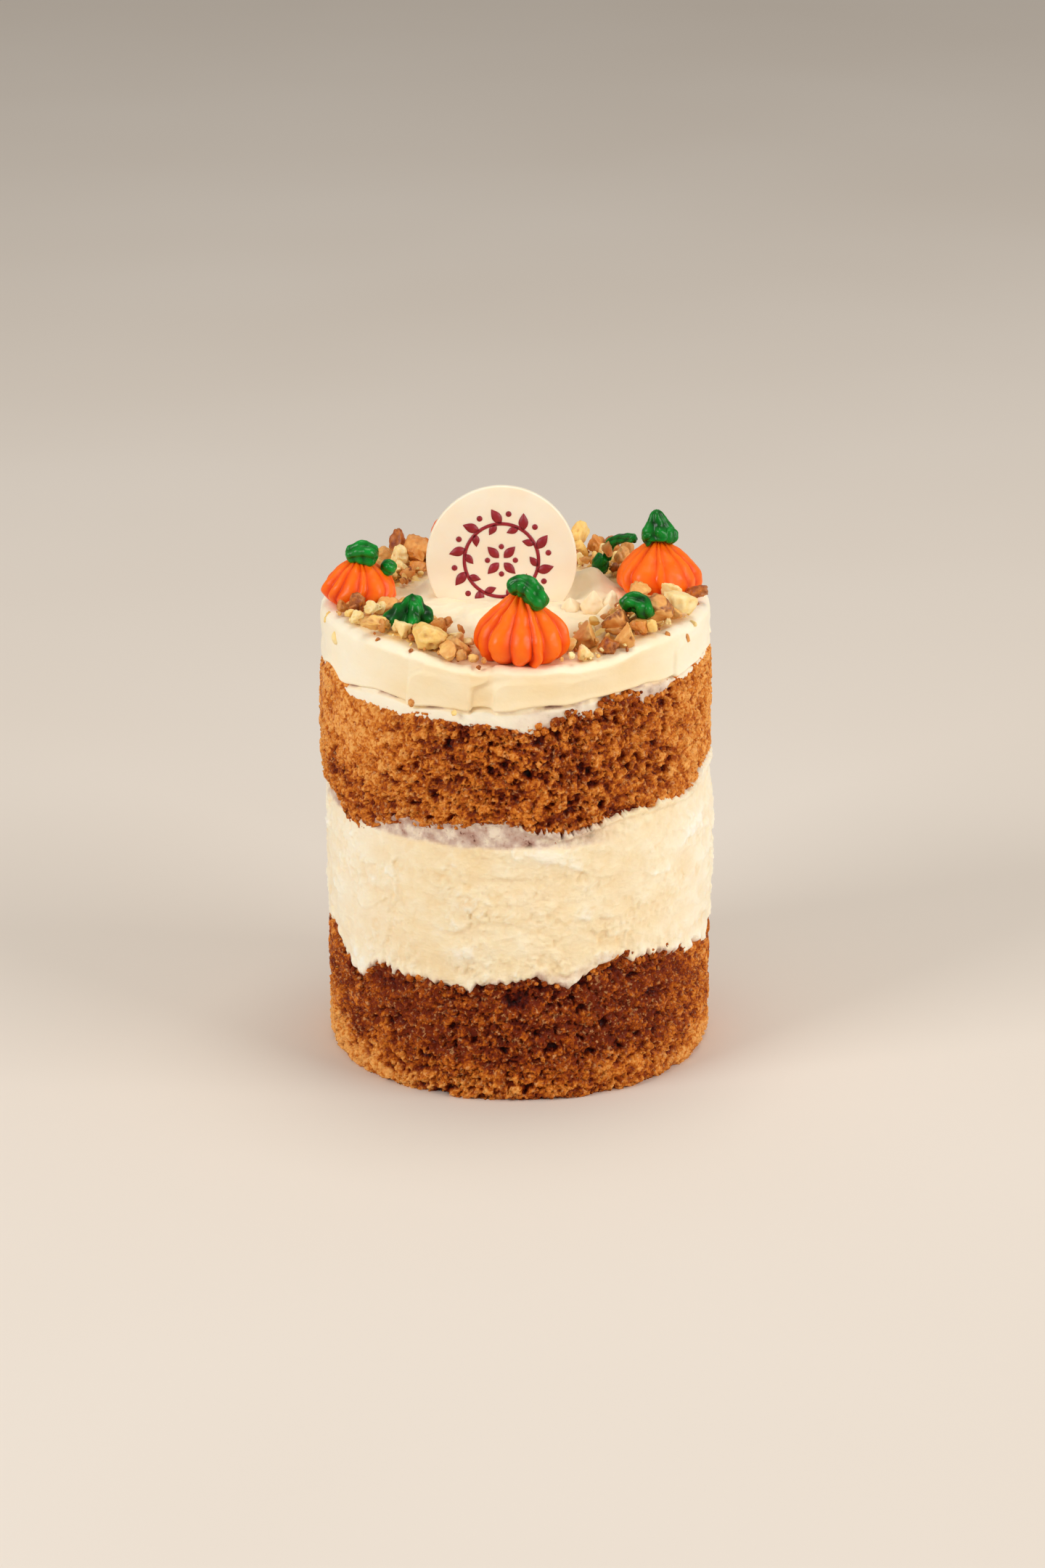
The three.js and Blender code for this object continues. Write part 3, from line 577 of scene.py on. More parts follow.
def walnut_material():
    """Chopped walnut. Marks: how much brown skin it has, its tone, and how far out it stands, which
    darkens its wrinkles with painted shade.
    """
    surface = Surface("walnut", 0.45, subsurface=0.2, radius=(1, 0.6, 0.3), scale=1.0, specular=0.4)
    skin, tone, outward = surface.marks()
    tone = surface.vary(tone, surface.noise(1.8, 4), 0.3, 0.7, 0.12)
    flesh = surface.ramp(
        tone,
        (0.0, (255, 230, 168)), (0.28, (251, 208, 116)), (0.45, (240, 184, 104)),
        (0.62, (228, 158, 80)), (0.78, (212, 124, 34)), (1.0, (132, 54, 20)),
    )
    brown = surface.ramp(surface.noise(1.0, 4), (0.35, (120, 56, 22)), (0.6, (190, 118, 58)))
    body = surface.mix(skin, flesh, brown)
    # Painted shade: the wrinkles are multiplied darker.
    pit = surface.ramp(outward, (0.0, (196, 140, 84)), (0.55, (255, 255, 255)))
    surface.color(surface.mix(1.0, body, pit, "MULTIPLY"))
    surface.bump(surface.noise(0.9, 4), 0.14, 0.6)
    return surface.material


def clouded_material(name, roughness, clouds, colors, grain=None, **settings):
    """A colour that wanders between two. clouds: noise size, detail, and where it leaves the first
    colour and reaches the second. grain: size and depth of the fine relief, and its detail."""
    size, detail, low, high = clouds
    surface = Surface(name, roughness, **settings)
    surface.color(surface.ramp(surface.noise(size, detail), (low, colors[0]), (high, colors[1])))
    if grain:
        size, depth, detail = grain
        surface.bump(surface.noise(size, detail), depth, 0.4)
    return surface.material


SPONGE = sponge_material()
SCRAPED_CREAM = cream_material("scraped_cream", 0.4)
SMOOTH_CREAM = cream_material("smooth_cream", 0.15)
# Each icing's colours: painted shade in the grooves, its own colour, and a painted highlight on the
# crests.
ORANGE = icing_material("orange_icing", (202, 40, 0), (245, 82, 0), (255, 112, 4), 0.36)
GREEN = icing_material("green_icing", (0, 54, 6), (0, 110, 24), (10, 150, 48), 0.26)
WALNUT = walnut_material()
CHOCOLATE = clouded_material(
    "white_chocolate", 0.38, (9, 3, 0.35, 0.65), [(252, 238, 214), (250, 232, 204)],
    grain=(2.4, 0.05, 4), subsurface=0.4, radius=CREAMY, scale=1.6,
)
CRIMSON = clouded_material(
    "crimson_print", 0.45, (1.6, 3, 0.35, 0.65), [(140, 22, 34), (156, 30, 42)],
    grain=(0.6, 0.03, 3), specular=0.4,
)

# ---- Layers ----

lower_seam = through_knots(LOWER_SEAM)
filling_seam = through_knots(FILLING_SEAM)
upper_seam = through_knots(UPPER_SEAM)
slab_edge = through_knots(SLAB_EDGE)

SPONGE_GRID = dict(columns=840, rows=84)
# A sponge's side: how far its crumb stands out and how deep it is torn at most, the depth where its
# painted pit shade is darkest, its swell between the pits, and how its hidden edges and its foot are
# drawn in.
CRUMB = dict(
    proud=0.6, deep=2.5, pit_shade_darkest=2.25, swell=0.15, belly=0.25, tuck=1.2, foot_in=0.8, foot_height=1.2
)
HIDDEN = 2.2  # how far a layer runs on behind its neighbour's edge
HIDDEN_RADIUS = 46.0  # where the hidden faces inside the cake start
# Holes torn in a sponge's side: azimuth, height, half width in degrees, half height and depth.
LOWER_HOLLOWS = [(-2.5, 27.6, 2.2, 2.2, 2.6), (1.6, 28.4, 1.8, 2.8, 2.8), (19, 31.5, 2, 1.4, 2)]
UPPER_HOLLOWS = [
    (-4, 93, 1.4, 1.6, 2), (3, 89.5, 2, 1.2, 2), (-3, 83.5, 3, 0.9, 1.8), (19, 90.5, 1.5, 1.1, 1.8),
    (23, 85.5, 1.3, 1.4, 1.8), (-24, 82.5, 2, 1.1, 1.8),
]
# Loose crumbs above a sponge's edge: azimuths, how far up they reach, how many, golden and seed.
LOWER_STRAYS = [((16, 62), 3.0, 30, 0.4, 560), ((-66, 16), 1.2, 26, 0.15, 561)]
UPPER_STRAYS = [((6, 46), 3.4, 52, 0.3, 760)]


def side_radius(layer, azimuth):
    return layer["radius"] + layer["shift"] * np.sin(np.radians(azimuth))


def crumb(points, openness, seed):
    """How deep a torn sponge side lies at each point, in millimetres, and its clump's number. Where
    openness is 0 the crumb is pressed, with fine pits, and where it is 1 it is torn into clumps."""
    shift = bend(points, 2.4, 3, seed + 50, 3)
    bent = (points + 1.1 * shift) * (1, 1, 1.25)
    near, following, clump = cells(bent, 2.7, seed)
    wall = following - near
    fine_near, fine_following, grain = cells(bent, 1.3, seed + 10)
    hole_near, _, hole_mark = cells(bent, 4.6, seed + 20)
    pit_near, _, pit_mark = cells((points + 0.3 * shift) * (1.15, 1.15, 0.8), 1.7, seed + 30)
    clumps = 1.5 * (clump - 0.45) * ease(wall, 0.02, 0.3) + 0.45 * ease(wall, 0.12, 0.0)
    grains = 1.3 * (grain - 0.5) * ease(fine_following - fine_near, 0.02, 0.3)
    hole = ease(hole_near, 0.38, 0.2) * (hole_mark > 0.45)
    pit = ease(pit_near, 0.32, 0.16) * (pit_mark > 0.35)
    hollow = 0.8 * layered(points * (1, 1, 2.0), 9, 2, seed + 40)
    crack = ease(np.abs(noise(bent * (1, 1, 2.4), 8, seed + 70)), 0.06, 0.0)
    rough = 0.32 * layered(points, 1.2, 2, seed + 60)
    torn = clumps + hollow + 2.1 * hole + 1.2 * crack
    depth = openness * torn + (0.16 + 0.84 * openness) * (grains + rough)
    return depth + 0.8 * pit, 0.45 * (1 - clump) + 0.55 * (1 - grain)


def layer_skin(layer, azimuth, rings, marks, low=None, high=None):
    """A layer's closed skin. low and high add a ring inside the cake at that end of its side."""
    if low is not None:
        rings = np.concatenate([polar(azimuth, HIDDEN_RADIUS, low)[None], rings])
        marks = np.concatenate([marks[:1], marks])
    rings = np.concatenate([rings, polar(azimuth, HIDDEN_RADIUS, high)[None]])
    marks = np.concatenate([marks, marks[-1:]])
    return through_rings((0, 0, layer["bottom"]), rings, (0, 0, layer["top"]), marks)


def sponge(layer, at_bottom, at_top, golden, openness, hollows):
    """A sponge layer. Its side runs on by HIDDEN behind a neighbour's edge, but not at the foot."""
    grounded = layer["bottom"] == 0
    azimuth = columns_of(SPONGE_GRID["columns"])
    low = at_bottom(azimuth) - (0 if grounded else HIDDEN)
    high = at_top(azimuth) + HIDDEN
    height = low + rows_of(SPONGE_GRID["rows"]) * (high - low)
    inner = (height - at_bottom(azimuth)) / (at_top(azimuth) - at_bottom(azimuth))
    radius = side_radius(layer, azimuth) + CRUMB["belly"]
    radius = radius - CRUMB["belly"] * np.clip(2 * inner - 1, -1, 1) ** 4
    tucked = ease(inner, 1.0, 1.06) + (0 if grounded else ease(inner, 0.0, -0.06))
    points = polar(azimuth, radius, height)
    depth, grain = crumb(points, openness(azimuth, inner, points), layer["seed"])
    bent = azimuth + 1.6 * noise(points, 2.5, layer["seed"] + 80)
    for at, level, width, tall, deep in hollows:
        off = ((bent - at) / width) ** 2 + ((height - level) / tall) ** 2
        depth += 0.75 * deep * np.exp(-off * off)
    limit = np.where(depth < 0, CRUMB["proud"], CRUMB["deep"])
    depth = limit * np.tanh(depth / limit)
    radius = radius + CRUMB["swell"] - depth - CRUMB["tuck"] * tucked
    if grounded:
        radius -= CRUMB["foot_in"] * ease(height, CRUMB["foot_height"], 0.0)
    # The second mark sets the painted pit shade: the deeper the crumb lies, the darker.
    marks = triples(golden(azimuth, inner, points), 1 - depth / CRUMB["pit_shade_darkest"], grain)
    rings = polar(azimuth, radius, height)
    return layer_skin(layer, azimuth, rings, marks, None if grounded else low, high)


def lower_golden(azimuth, inner, points):
    """The lower sponge is dark at the front above, and golden at its foot and sides."""
    side = around(azimuth, -4, 38, 88)
    foot = ease(inner, 0.5, 0.05)
    left_foot = ease(inner, 0.5, 0.2) * ease(azimuth, -6, -40)
    patch = waves(points, (0.16, 11, 301), (0.1, 4, 302))
    return np.clip(0.02 + 0.4 * foot + 0.36 * side + 0.28 * left_foot + patch, 0, 1)


def lower_openness(azimuth, inner, points):
    side = around(azimuth, -4, 50, 85)
    return np.clip(0.95 - 0.25 * side + 0.25 * noise(points, 10, 311), 0.4, 1.15)


def upper_golden(azimuth, inner, points):
    """The upper sponge is golden at its sides and upper left, darker at the front."""
    front = around(azimuth, 8, 62, 22)
    low_left = around(azimuth, -58, 26, 8) * ease(inner, 0.6, 0.25)
    patch = waves(points, (0.14, 10, 321), (0.08, 4, 322))
    return np.clip(0.66 - 0.34 * front - 0.3 * low_left + patch, 0, 1)


def upper_openness(azimuth, inner, points):
    """Pressed smooth at the left and far right, torn open at the front."""
    pressed = ease(azimuth, -14, -46) * ease(inner, 0.25, 0.7)
    far = ease(azimuth, 50, 80)
    return np.clip(1.0 - 0.7 * pressed - 0.5 * far + 0.25 * noise(points, 9, 331), 0.15, 1.15)


def ground(azimuth):
    return 0.0 * azimuth


def stray_crumbs(seam, strays):
    """Loose crumbs that stick out of the cream just above a sponge's upper edge."""
    points, faces = BALLS[MEDIUM]
    for span, reach, count, golden, seed in strays:
        rng = np.random.default_rng(seed)
        for _ in range(count):
            azimuth = rng.uniform(*span)
            size = rng.uniform(0.4, 1.1)
            height = seam(azimuth) + reach * rng.random() ** 1.6 - 0.3
            place = polar(azimuth, CAKE_RADIUS + 0.35 - 0.35 * size, height)
            lump = 1 + 0.35 * layered(points * 1.6 + rng.uniform(0, 90), 1.0, 2, seed)
            shaped = points * lump[:, None] * rng.uniform(0.8, 1.25, 3) * size
            # The second mark paints shade between a crumb's lumps.
            marks = triples(golden + 0.3 * (rng.random() - 0.5), 0.35 + 0.5 * lump, rng.random())
            yield Shape(shaped + place, [faces], marks)


side = sponge(LOWER_SPONGE, ground, lower_seam, lower_golden, lower_openness, LOWER_HOLLOWS)
shape = joined([side, *stray_crumbs(lower_seam, LOWER_STRAYS)])
make("sponge_lower_crumb", shape, SPONGE, "sponge_dark", "sponge_lower")
side = sponge(UPPER_SPONGE, filling_seam, upper_seam, upper_golden, upper_openness, UPPER_HOLLOWS)
shape = joined([side, *stray_crumbs(upper_seam, UPPER_STRAYS)])
make("sponge_upper_crumb", shape, SPONGE, "sponge_gold", "sponge_upper")

CREAM_COLUMNS = 760
FILLING_ROWS = 88
# How the filling's lower and upper edges are rounded: within which height, and how far in.
FILLING_EDGE = dict(low=1.6, low_in=1.9, high=0.5, high_in=1.4)
FINGER = 2.6  # how far the cream's torn fingers hang over the sponge below
COAT_FROM = 69.5  # the thin coat over the filling's top starts here


def spikes(azimuth, size, seed):
    """Pointed teeth along an edge, from 0 between them to 1 at their tips."""
    ring = polar(azimuth, CAKE_RADIUS, 0.0)
    sharp = np.clip(1 - np.abs(noise(ring, size, seed)) / 0.42, 0, 1) ** 1.1
    return sharp * ease(noise(ring, 2.5 * size, seed + 1), -0.5, 0.3)


def ledges(points, spacing, seed):
    """Scraped ledges: each band rises slowly outwards and drops sharply at its lower edge."""
    drift = 0.55 * spacing * noise(points * (1, 1, 0.4), 15, seed) + 0.5 * noise(points, 3, seed + 1)
    phase = (points[..., 2] + drift) / spacing % 1
    return (1 - phase) ** 2 * ease(phase, 0, 0.07) * ease(noise(points, 12, seed + 2), -0.1, 0.25)


def flakes(points, size, depth, fade, seed):
    """Flat flakes that stand out by different heights, with grooves between them."""
    near, following, fleck = cells(points, size, seed)
    return depth * (fleck - 0.5) * ease(following - near, 0.0, fade)


def filling_relief(points):
    """How far the filling stands out: long smears, scraped ledges, curds and torn flakes."""
    smear = waves(points * (1, 1, 1.8), (0.5, 17, 821), (0.3, 7, 822)) - 0.25
    shelf = 0.5 * ledges(points, 12, 823) + 0.16 * ledges(points, 5.5, 843)
    lumpy = 0.35 + 0.65 * ease(noise(points, 13, 853), -0.4, 0.3)
    curds = 0.2 * noise(points, 3.4, 825) + 0.3 * lumpy * np.abs(noise(points, 1.7, 826))
    shift = bend(points, 2.2, 2, 827, 20)
    flats = flakes(points + 0.9 * shift, 2.8, 0.8, 0.18, 828)
    flats = flats + flakes(points + 0.6 * shift, 1.4, 0.45, 0.2, 838)
    return smear + shelf + (curds + lumpy * flats)


def filling():
    """The cream between the sponges, its foot torn and its top scraped thin."""
    azimuth = columns_of(CREAM_COLUMNS)
    ring = polar(azimuth, CAKE_RADIUS, 0.0)
    front_right = ease(azimuth, 2, 14) * ease(azimuth, 100, 80)

    hang = 0.55 * spikes(azimuth, 6, 801) + 0.38 * spikes(azimuth, 2.9, 803)
    smooth_low = lower_seam(azimuth) + 0.8
    low = smooth_low - FINGER * hang - waves(ring, (1.1, 4.5, 805), (0.9, 1.9, 807), (0.5, 1.0, 809))
    feather = spikes(azimuth, 2.4, 811) + 0.8 * spikes(azimuth, 1.2, 813)
    smooth_high = filling_seam(azimuth)
    high = smooth_high + (1.3 + 0.7 * front_right) * feather - 0.3 + 0.5 * noise(ring, 3, 815)
    share = rows_of(FILLING_ROWS)
    height = smooth_low + share * (smooth_high - smooth_low)
    height += (low - smooth_low) * ease(share, 0.18, 0.0)
    height += (high - smooth_high) * ease(share, 0.9, 1.0)

    base = side_radius(FILLING, azimuth) + FILLING["bulge"] * np.sin(np.pi * share)
    points = polar(azimuth, base, height)
    pleat = layered(points * (1, 1, 0.3), 2.6, 2, 829)
    relief = filling_relief(points) + 0.7 * pleat * ease(height - low, 9, 0)
    coat_from = COAT_FROM + 0.8 * noise(ring, 9, 831)
    coat = ease(height, coat_from - 0.3, coat_from + 0.9)
    rough = waves(points, (1, 2.2, 832), (0.7, 1.1, 833))
    radius = base + relief * (1 - 0.7 * coat) - 0.65 * coat + 0.35 * coat * rough
    flake = ease(height, smooth_high - 1.8, smooth_high - 0.4)
    over_sponge = side_radius(UPPER_SPONGE, azimuth) + 1.15 + 0.3 * rough
    radius += flake * (0.35 + 0.65 * front_right) * (over_sponge - radius)
    edge = np.minimum(height - low, FILLING_EDGE["low"]) / FILLING_EDGE["low"]
    radius -= FILLING_EDGE["low_in"] * (1 - edge) ** 1.8
    radius -= FILLING_EDGE["high_in"] * ease(high - height, FILLING_EDGE["high"], 0.0)

    scraped = coat * ease(azimuth, 34, 10) * ease(azimuth, -100, -70)
    patch = ease(noise(ring, 7, 834), -0.15, 0.25)
    reach = 2.2 + 2.8 * ease(azimuth, 2, 10) * ease(azimuth, 34, 22) + 1.2 * pleat
    reach = np.maximum(reach, 0.6)
    torn = 0.9 * ease(height - low, reach, 0.4 * reach) * np.clip(0.4 + 0.8 * patch, 0, 1)
    torn *= around(azimuth, -5, 80, 55)
    spots = ease(noise(points + 1.6 * bend(points, 2.6, 1, 837, 1), 4, 835), 0.4, 0.75)
    # Painted shade: the stain mark is raised in the recesses of the relief and, below, at the front; the
    # spots and the cloudy noise are the cream's own yellow stains.
    stain_and_painted_shade = 0.24 * ease(relief, 0.25, -0.55) + 0.25 * spots + 0.12 * noise(points, 10, 836)
    front = around(azimuth, 5, 62, 30)
    stain_and_painted_shade = np.clip(stain_and_painted_shade + 0.08 * front, 0, 1) * ease(height - low, 1, 6)
    # Painted light: the cream is whiter on the raised relief and at the sides.
    whiteness_and_painted_light = ease(relief, 0.15, 0.7) * 0.7 + 0.5 * (1 - front)
    marks = triples(np.clip(scraped + torn, 0, 1), stain_and_painted_shade, np.clip(whiteness_and_painted_light, 0, 1))
    return layer_skin(FILLING, azimuth, polar(azimuth, radius, height), marks, low + 0.5, high)


make("cream_filling_smear", filling(), SCRAPED_CREAM, "cream", "cream_filling")

COAT_ROWS = 14
SLAB_ROWS = 26
SHOULDER_ROWS = 8
TOP_RADII = [(46.4, 31, 18), (30, 0.6, 42)]  # the top face's rings: from, to and how many
TOP_FACE = 117.0  # cream above this level belongs to the top face
PEAK_SUNK = 1.2
PEAK_GRID = dict(columns=40, rows=26)


def top_height(x, y):
    """The height of the cream's top face at a point."""
    radius = np.hypot(x, y)
    beyond = np.abs(np.degrees(np.arctan2(x, -y)) - FRONT_DIP["toward"])
    dip = FRONT_DIP["depth"] * ease(radius, FRONT_DIP["inner"], FRONT_DIP["outer"])
    dip = dip * (1 - ease(beyond, FRONT_DIP["full"], FRONT_DIP["gone"]))
    rise = 0
    for at_x, at_y, height, spread in RELIEF:
        rise = rise + height * np.exp(-((x - at_x) ** 2 + (y - at_y) ** 2) / spread**2)
    return TOP_LEVEL - dip + rise * (1 - ease(radius, *RELIEF_FADE))


def stroke_depth(azimuth):
    """How far the slab stands out: each stroke starts with a lip, lies flat and fades along it."""
    first = STROKES[0][0]
    azimuth = (azimuth - first) % 360 + first
    out = np.zeros_like(azimuth)
    for (start, end, near, far), before in zip(STROKES, [STROKES[-1], *STROKES]):
        share = np.clip((azimuth - start) / (end - start), 0, 1)
        flat = near + (far - near) * share - STROKE_BOW * 4 * share * (1 - share)
        stroke = before[3] + (flat - before[3]) * ease(azimuth - start, 0.0, 0.9)
        out = np.where((azimuth >= start) & (azimuth < end), stroke, out)
    return out


def soft_relief(azimuth, radius, height):
    """The soft swells of spread cream, with fine lines that the spatula dragged round it."""
    points = polar(azimuth, radius, height)
    swell = 0.35 * noise(points * (1, 1, 0.7), 13, 911) + 0.16 * noise(points, 4, 912)
    return swell + 0.05 * noise(points * (0.25, 0.25, 1), 1.6, 913)


def top_marks(rings, azimuth, stroke_out):
    """Where the cream's side is smeared thin, with a painted shadow line in the gap under the slab; where
    it is stained, with painted shade at the front and on the top face right of the disc; and where it is
    whiter, with painted light at the sides.
    """
    ring = polar(azimuth, CAKE_RADIUS, 0.0)
    row = np.arange(len(rings))[:, None]
    x, y, z = np.moveaxis(rings, -1, 0)
    radius = np.hypot(x, y)
    torn = ease(azimuth, -6, 12) * ease(azimuth, 66, 40) * (row < COAT_ROWS - 1)
    torn *= 0.55 + 0.5 * noise(rings, 4, 932)
    # Painted shadow: a dark line in the gap under the slab's lower edge, carried on the torn mark.
    painted_gap_shadow = (row > COAT_ROWS - 2) * (row < COAT_ROWS + 2) * ease(noise(ring, 6, 906), -0.05, 0.2)
    torn = np.maximum(torn, 0.9 * painted_gap_shadow)
    near_nuts = ease(radius, 25, 32) * ease(radius, 48, 45.5) * (z > TOP_FACE)
    stain_and_painted_shade = near_nuts * (0.55 + 0.4 * noise(rings, 6, 931))
    # Painted shade: the top face right of the disc, among the peaks, is yellower.
    stain_and_painted_shade += 0.25 * (radius < 32) * ease(x, 4, 20) * (z > TOP_FACE)
    on_slab = (row > COAT_ROWS + 1) * (row < COAT_ROWS + SLAB_ROWS + 2)
    step = stroke_out - stroke_out.mean()
    # Painted shade: the slab's front is yellower, and more so where a stroke lies back.
    painted_front_shade = around(azimuth, 2, 60, 26) * on_slab
    stain_and_painted_shade += painted_front_shade * (0.3 + 0.12 * noise(rings, 9, 933) - 0.16 * step)
    # Painted light: the cream is whiter at the sides than at the front.
    sides = around(azimuth, 5, 28, 62) * (radius > 47)
    whiteness_and_painted_light = np.maximum(0.6 * (row < COAT_ROWS - 2), 0.4 * sides)
    return np.clip(triples(torn, stain_and_painted_shade, whiteness_and_painted_light), 0, 1)


def cream_top():
    """The thick slab of cream with the thin coat under it, and the face that holds the toppings."""
    azimuth = columns_of(CREAM_COLUMNS)
    ring = polar(azimuth, CAKE_RADIUS, 0.0)
    side = side_radius(CREAM_TOP, azimuth)
    shoulder = CREAM_TOP["shoulder"]
    seam = upper_seam(azimuth)
    stroke_out = stroke_depth(azimuth)
    low = seam - 0.2 - 0.9 * spikes(azimuth, 3.0, 901) + 0.5 * noise(ring, 3, 905)
    slab = slab_edge(azimuth) + 0.6 * noise(ring, 8, 902) - 0.7 * stroke_out
    slab = np.maximum(slab, seam + LEAST_COAT)
    rim_point = polar(azimuth, CAKE_RADIUS - 4, 0.0)
    rim = top_height(rim_point[:, 0], rim_point[:, 1]) + 0.4 * stroke_out
    rim += waves(ring, (0.6, 12, 903), (0.3, 4.5, 907))
    crevice = ease(noise(ring, 9, 904), -0.3, 0.15)

    coat_height = low + rows_of(COAT_ROWS) * (slab - 0.1 - low)
    coat_radius = side - CREAM_TOP["coat_step"] + 0.4 * soft_relief(azimuth, side, coat_height)
    crumbly = noise(polar(azimuth, side, coat_height), 1.8, 914)
    coat_radius += (0.12 + 0.3 * ease(azimuth, 2, 16)) * crumbly
    coat_radius -= 1.4 * ease(coat_height - low, 0.9, 0.0)
    coat_radius -= 1.5 * crevice * ease(slab - coat_height, 1.1, 0.3)

    share = rows_of(SLAB_ROWS) ** 1.25
    slab_height = slab + share * (rim - shoulder - slab)
    waver = 1.4 * noise(triples(3, 0, slab_height), 9, 915)
    corner = ease(share, 0.5, 0.95) ** 2  # a stroke's upper corner is round
    stroke = stroke_depth(azimuth + waver - 4.5 * corner) * (1 - 0.75 * ease(share, 0.76, 0.97))
    slab_radius = side + stroke + soft_relief(azimuth, side, slab_height)
    slab_radius += 0.4 * ease(share, 0.3, 0.0)
    under = np.clip((slab_height - slab) / 0.8, 0, 1)
    slab_radius -= (1 - under) ** 2
    slab_radius -= 0.9 * crevice * ease(under, 0.25, 0.0)

    turn = np.linspace(0, np.pi / 2, SHOULDER_ROWS)[1:, None]
    round_radius = slab_radius[-1] - shoulder * 1.5 * (1 - np.cos(turn))
    round_height = slab_height[-1] + shoulder * np.sin(turn)

    top_radius = np.concatenate([np.linspace(*radii) for radii in TOP_RADII])[:, None]
    flat = polar(azimuth, top_radius, 0.0)
    swirl = triples(top_radius, np.radians(azimuth) * 10, 0) * (1, 0.6, 1)
    detail = 0.7 * noise(swirl, 5, 921) + 0.35 * layered(flat, 3.4, 2, 922)
    detail *= ease(top_radius, 2, 8) * ease(top_radius, 46, 34)
    blend = ease(top_radius, 44.0, 47.0)
    top_level = top_height(flat[..., 0], flat[..., 1]) + detail + blend * (round_height[-1] - rim)

    rings = np.concatenate([
        polar(azimuth, HIDDEN_RADIUS, low + 0.5)[None],
        polar(azimuth, coat_radius, coat_height),
        polar(azimuth, slab_radius, slab_height),
        polar(azimuth, round_radius, round_height),
        polar(azimuth, top_radius, top_level),
    ])
    marks = top_marks(rings, azimuth, stroke_out)
    slab_shape = through_rings((0, 0, CREAM_TOP["bottom"]), rings, (0, 0, top_height(0.0, 0.0)), marks)
    return joined([slab_shape, *(cream_peak(*peak, seed) for seed, peak in enumerate(PEAKS))])


def cream_peak(x, y, foot, height, lean, seed):
    """A torn peak of cream, its foot sunk in the top face."""
    share = 0.97 * rows_of(PEAK_GRID["rows"])
    azimuth = columns_of(PEAK_GRID["columns"])
    shift = math.tan(math.radians(lean)) * height * share**1.5
    reach = foot * (1 - share**1.4) ** 0.9 * (1 + 0.2 * np.cos(np.radians(azimuth * 3 + 40 * seed)))
    level = top_height(x, y) - PEAK_SUNK + (height + PEAK_SUNK) * share
    rings = triples(x + shift, y, 0) + polar(azimuth, reach, level)
    ragged = waves(rings, (0.7, 2.8, 941 + seed), (0.45, 1.3, 951 + seed))
    rings = rings + ragged[..., None] * (rings - (x, y, 0)) / foot * (1, 1, 0)
    # Painted shade: a peak is yellower towards its foot.
    marks = triples(0, 0.55 - 0.45 * share + 0 * azimuth, 0)
    return through_rings(rings[0].mean(axis=0), rings, rings[-1].mean(axis=0) + (0, 0, 0.15), marks)


make("cream_top_slab", cream_top(), SMOOTH_CREAM, "cream", "cream_top")

# ---- Disc ----

DISC_SIDES = 128
PRINT_BACK = DISC["thickness"] / 2 - 0.1
PRINT_FRONT = DISC["thickness"] / 2 + 0.06
WREATH = dict(radius=9.6, width=0.9, pairs=10, sides=120)
# The two leaves of a pair: degrees from the pair's azimuth, length, width and tilt.
WREATH_LEAVES = [(0, 4.6, 2.5, 34), (8, 3.4, 1.9, 180 - 40)]
OUTER_DOTS = dict(reach=12.3, beyond=-9, radius=0.75)
INNER_DOTS = dict(reach=3.6, radius=0.7)


def on_disc(across, up, out):
    """Points that lie so far across the disc, up it and out of its front face."""
    lean = math.radians(DISC["lean"])
    back = -out * math.cos(lean) + up * math.sin(lean)
    rise = up * math.cos(lean) + out * math.sin(lean)
    return triples(DISC["x"] + across, DISC["y"] + back, DISC["z"] + rise)


def chocolate_disc():
    """The disc, with a softly rounded rim."""
    half = DISC["thickness"] / 2
    edge = DISC["softened"]
    flat = DISC["radius"] - edge
    turn = np.radians(np.linspace(0, 90, 6))
    reach = [[0.5 * flat], flat + edge * np.sin(turn), flat + edge * np.cos(turn), [0.5 * flat]]
    out = [[-half], -half + edge * (1 - np.cos(turn)), half - edge * (1 - np.sin(turn)), [half]]
    reach, out = (np.concatenate(parts)[:, None] for parts in (reach, out))
    angle = turns_of(DISC_SIDES)
    rings = on_disc(reach * np.cos(angle), reach * np.sin(angle), out)
    return through_rings(on_disc(0, 0, -half), rings, on_disc(0, 0, half))


def plate(u, v, middle):
    """A thin flat print on the disc, from its outline going anticlockwise."""
    rings = on_disc(u, v, np.array([[PRINT_BACK], [PRINT_FRONT]]))
    return through_rings(on_disc(*middle, PRINT_BACK), rings, on_disc(*middle, PRINT_FRONT))


def on_circle(azimuth, radius=1.0):
    angle = np.radians(azimuth)
    return radius * np.cos(angle), radius * np.sin(angle)


def print_leaf(radius, azimuth, length, width, tilt):
    """An almond leaf that starts on a circle and points outwards, turned by tilt."""
    share = np.linspace(0, 1, 13)
    half = 0.5 * width * np.sin(np.pi * share**0.85)
    along = np.concatenate([share, share[-2:0:-1]]) * length
    across = np.concatenate([-half, half[-2:0:-1]])
    start_u, start_v = on_circle(azimuth, radius)
    toward_u, toward_v = on_circle(azimuth + tilt)
    u = along * toward_u - across * toward_v + start_u
    v = along * toward_v + across * toward_u + start_v
    return plate(u, v, (u.mean(), v.mean()))


def print_dot(reach, azimuth, radius):
    """A dot whose middle lies on a circle."""
    u, v = on_circle(azimuth, reach)
    angle = turns_of(20)
    return plate(u + radius * np.cos(angle), v + radius * np.sin(angle), (u, v))


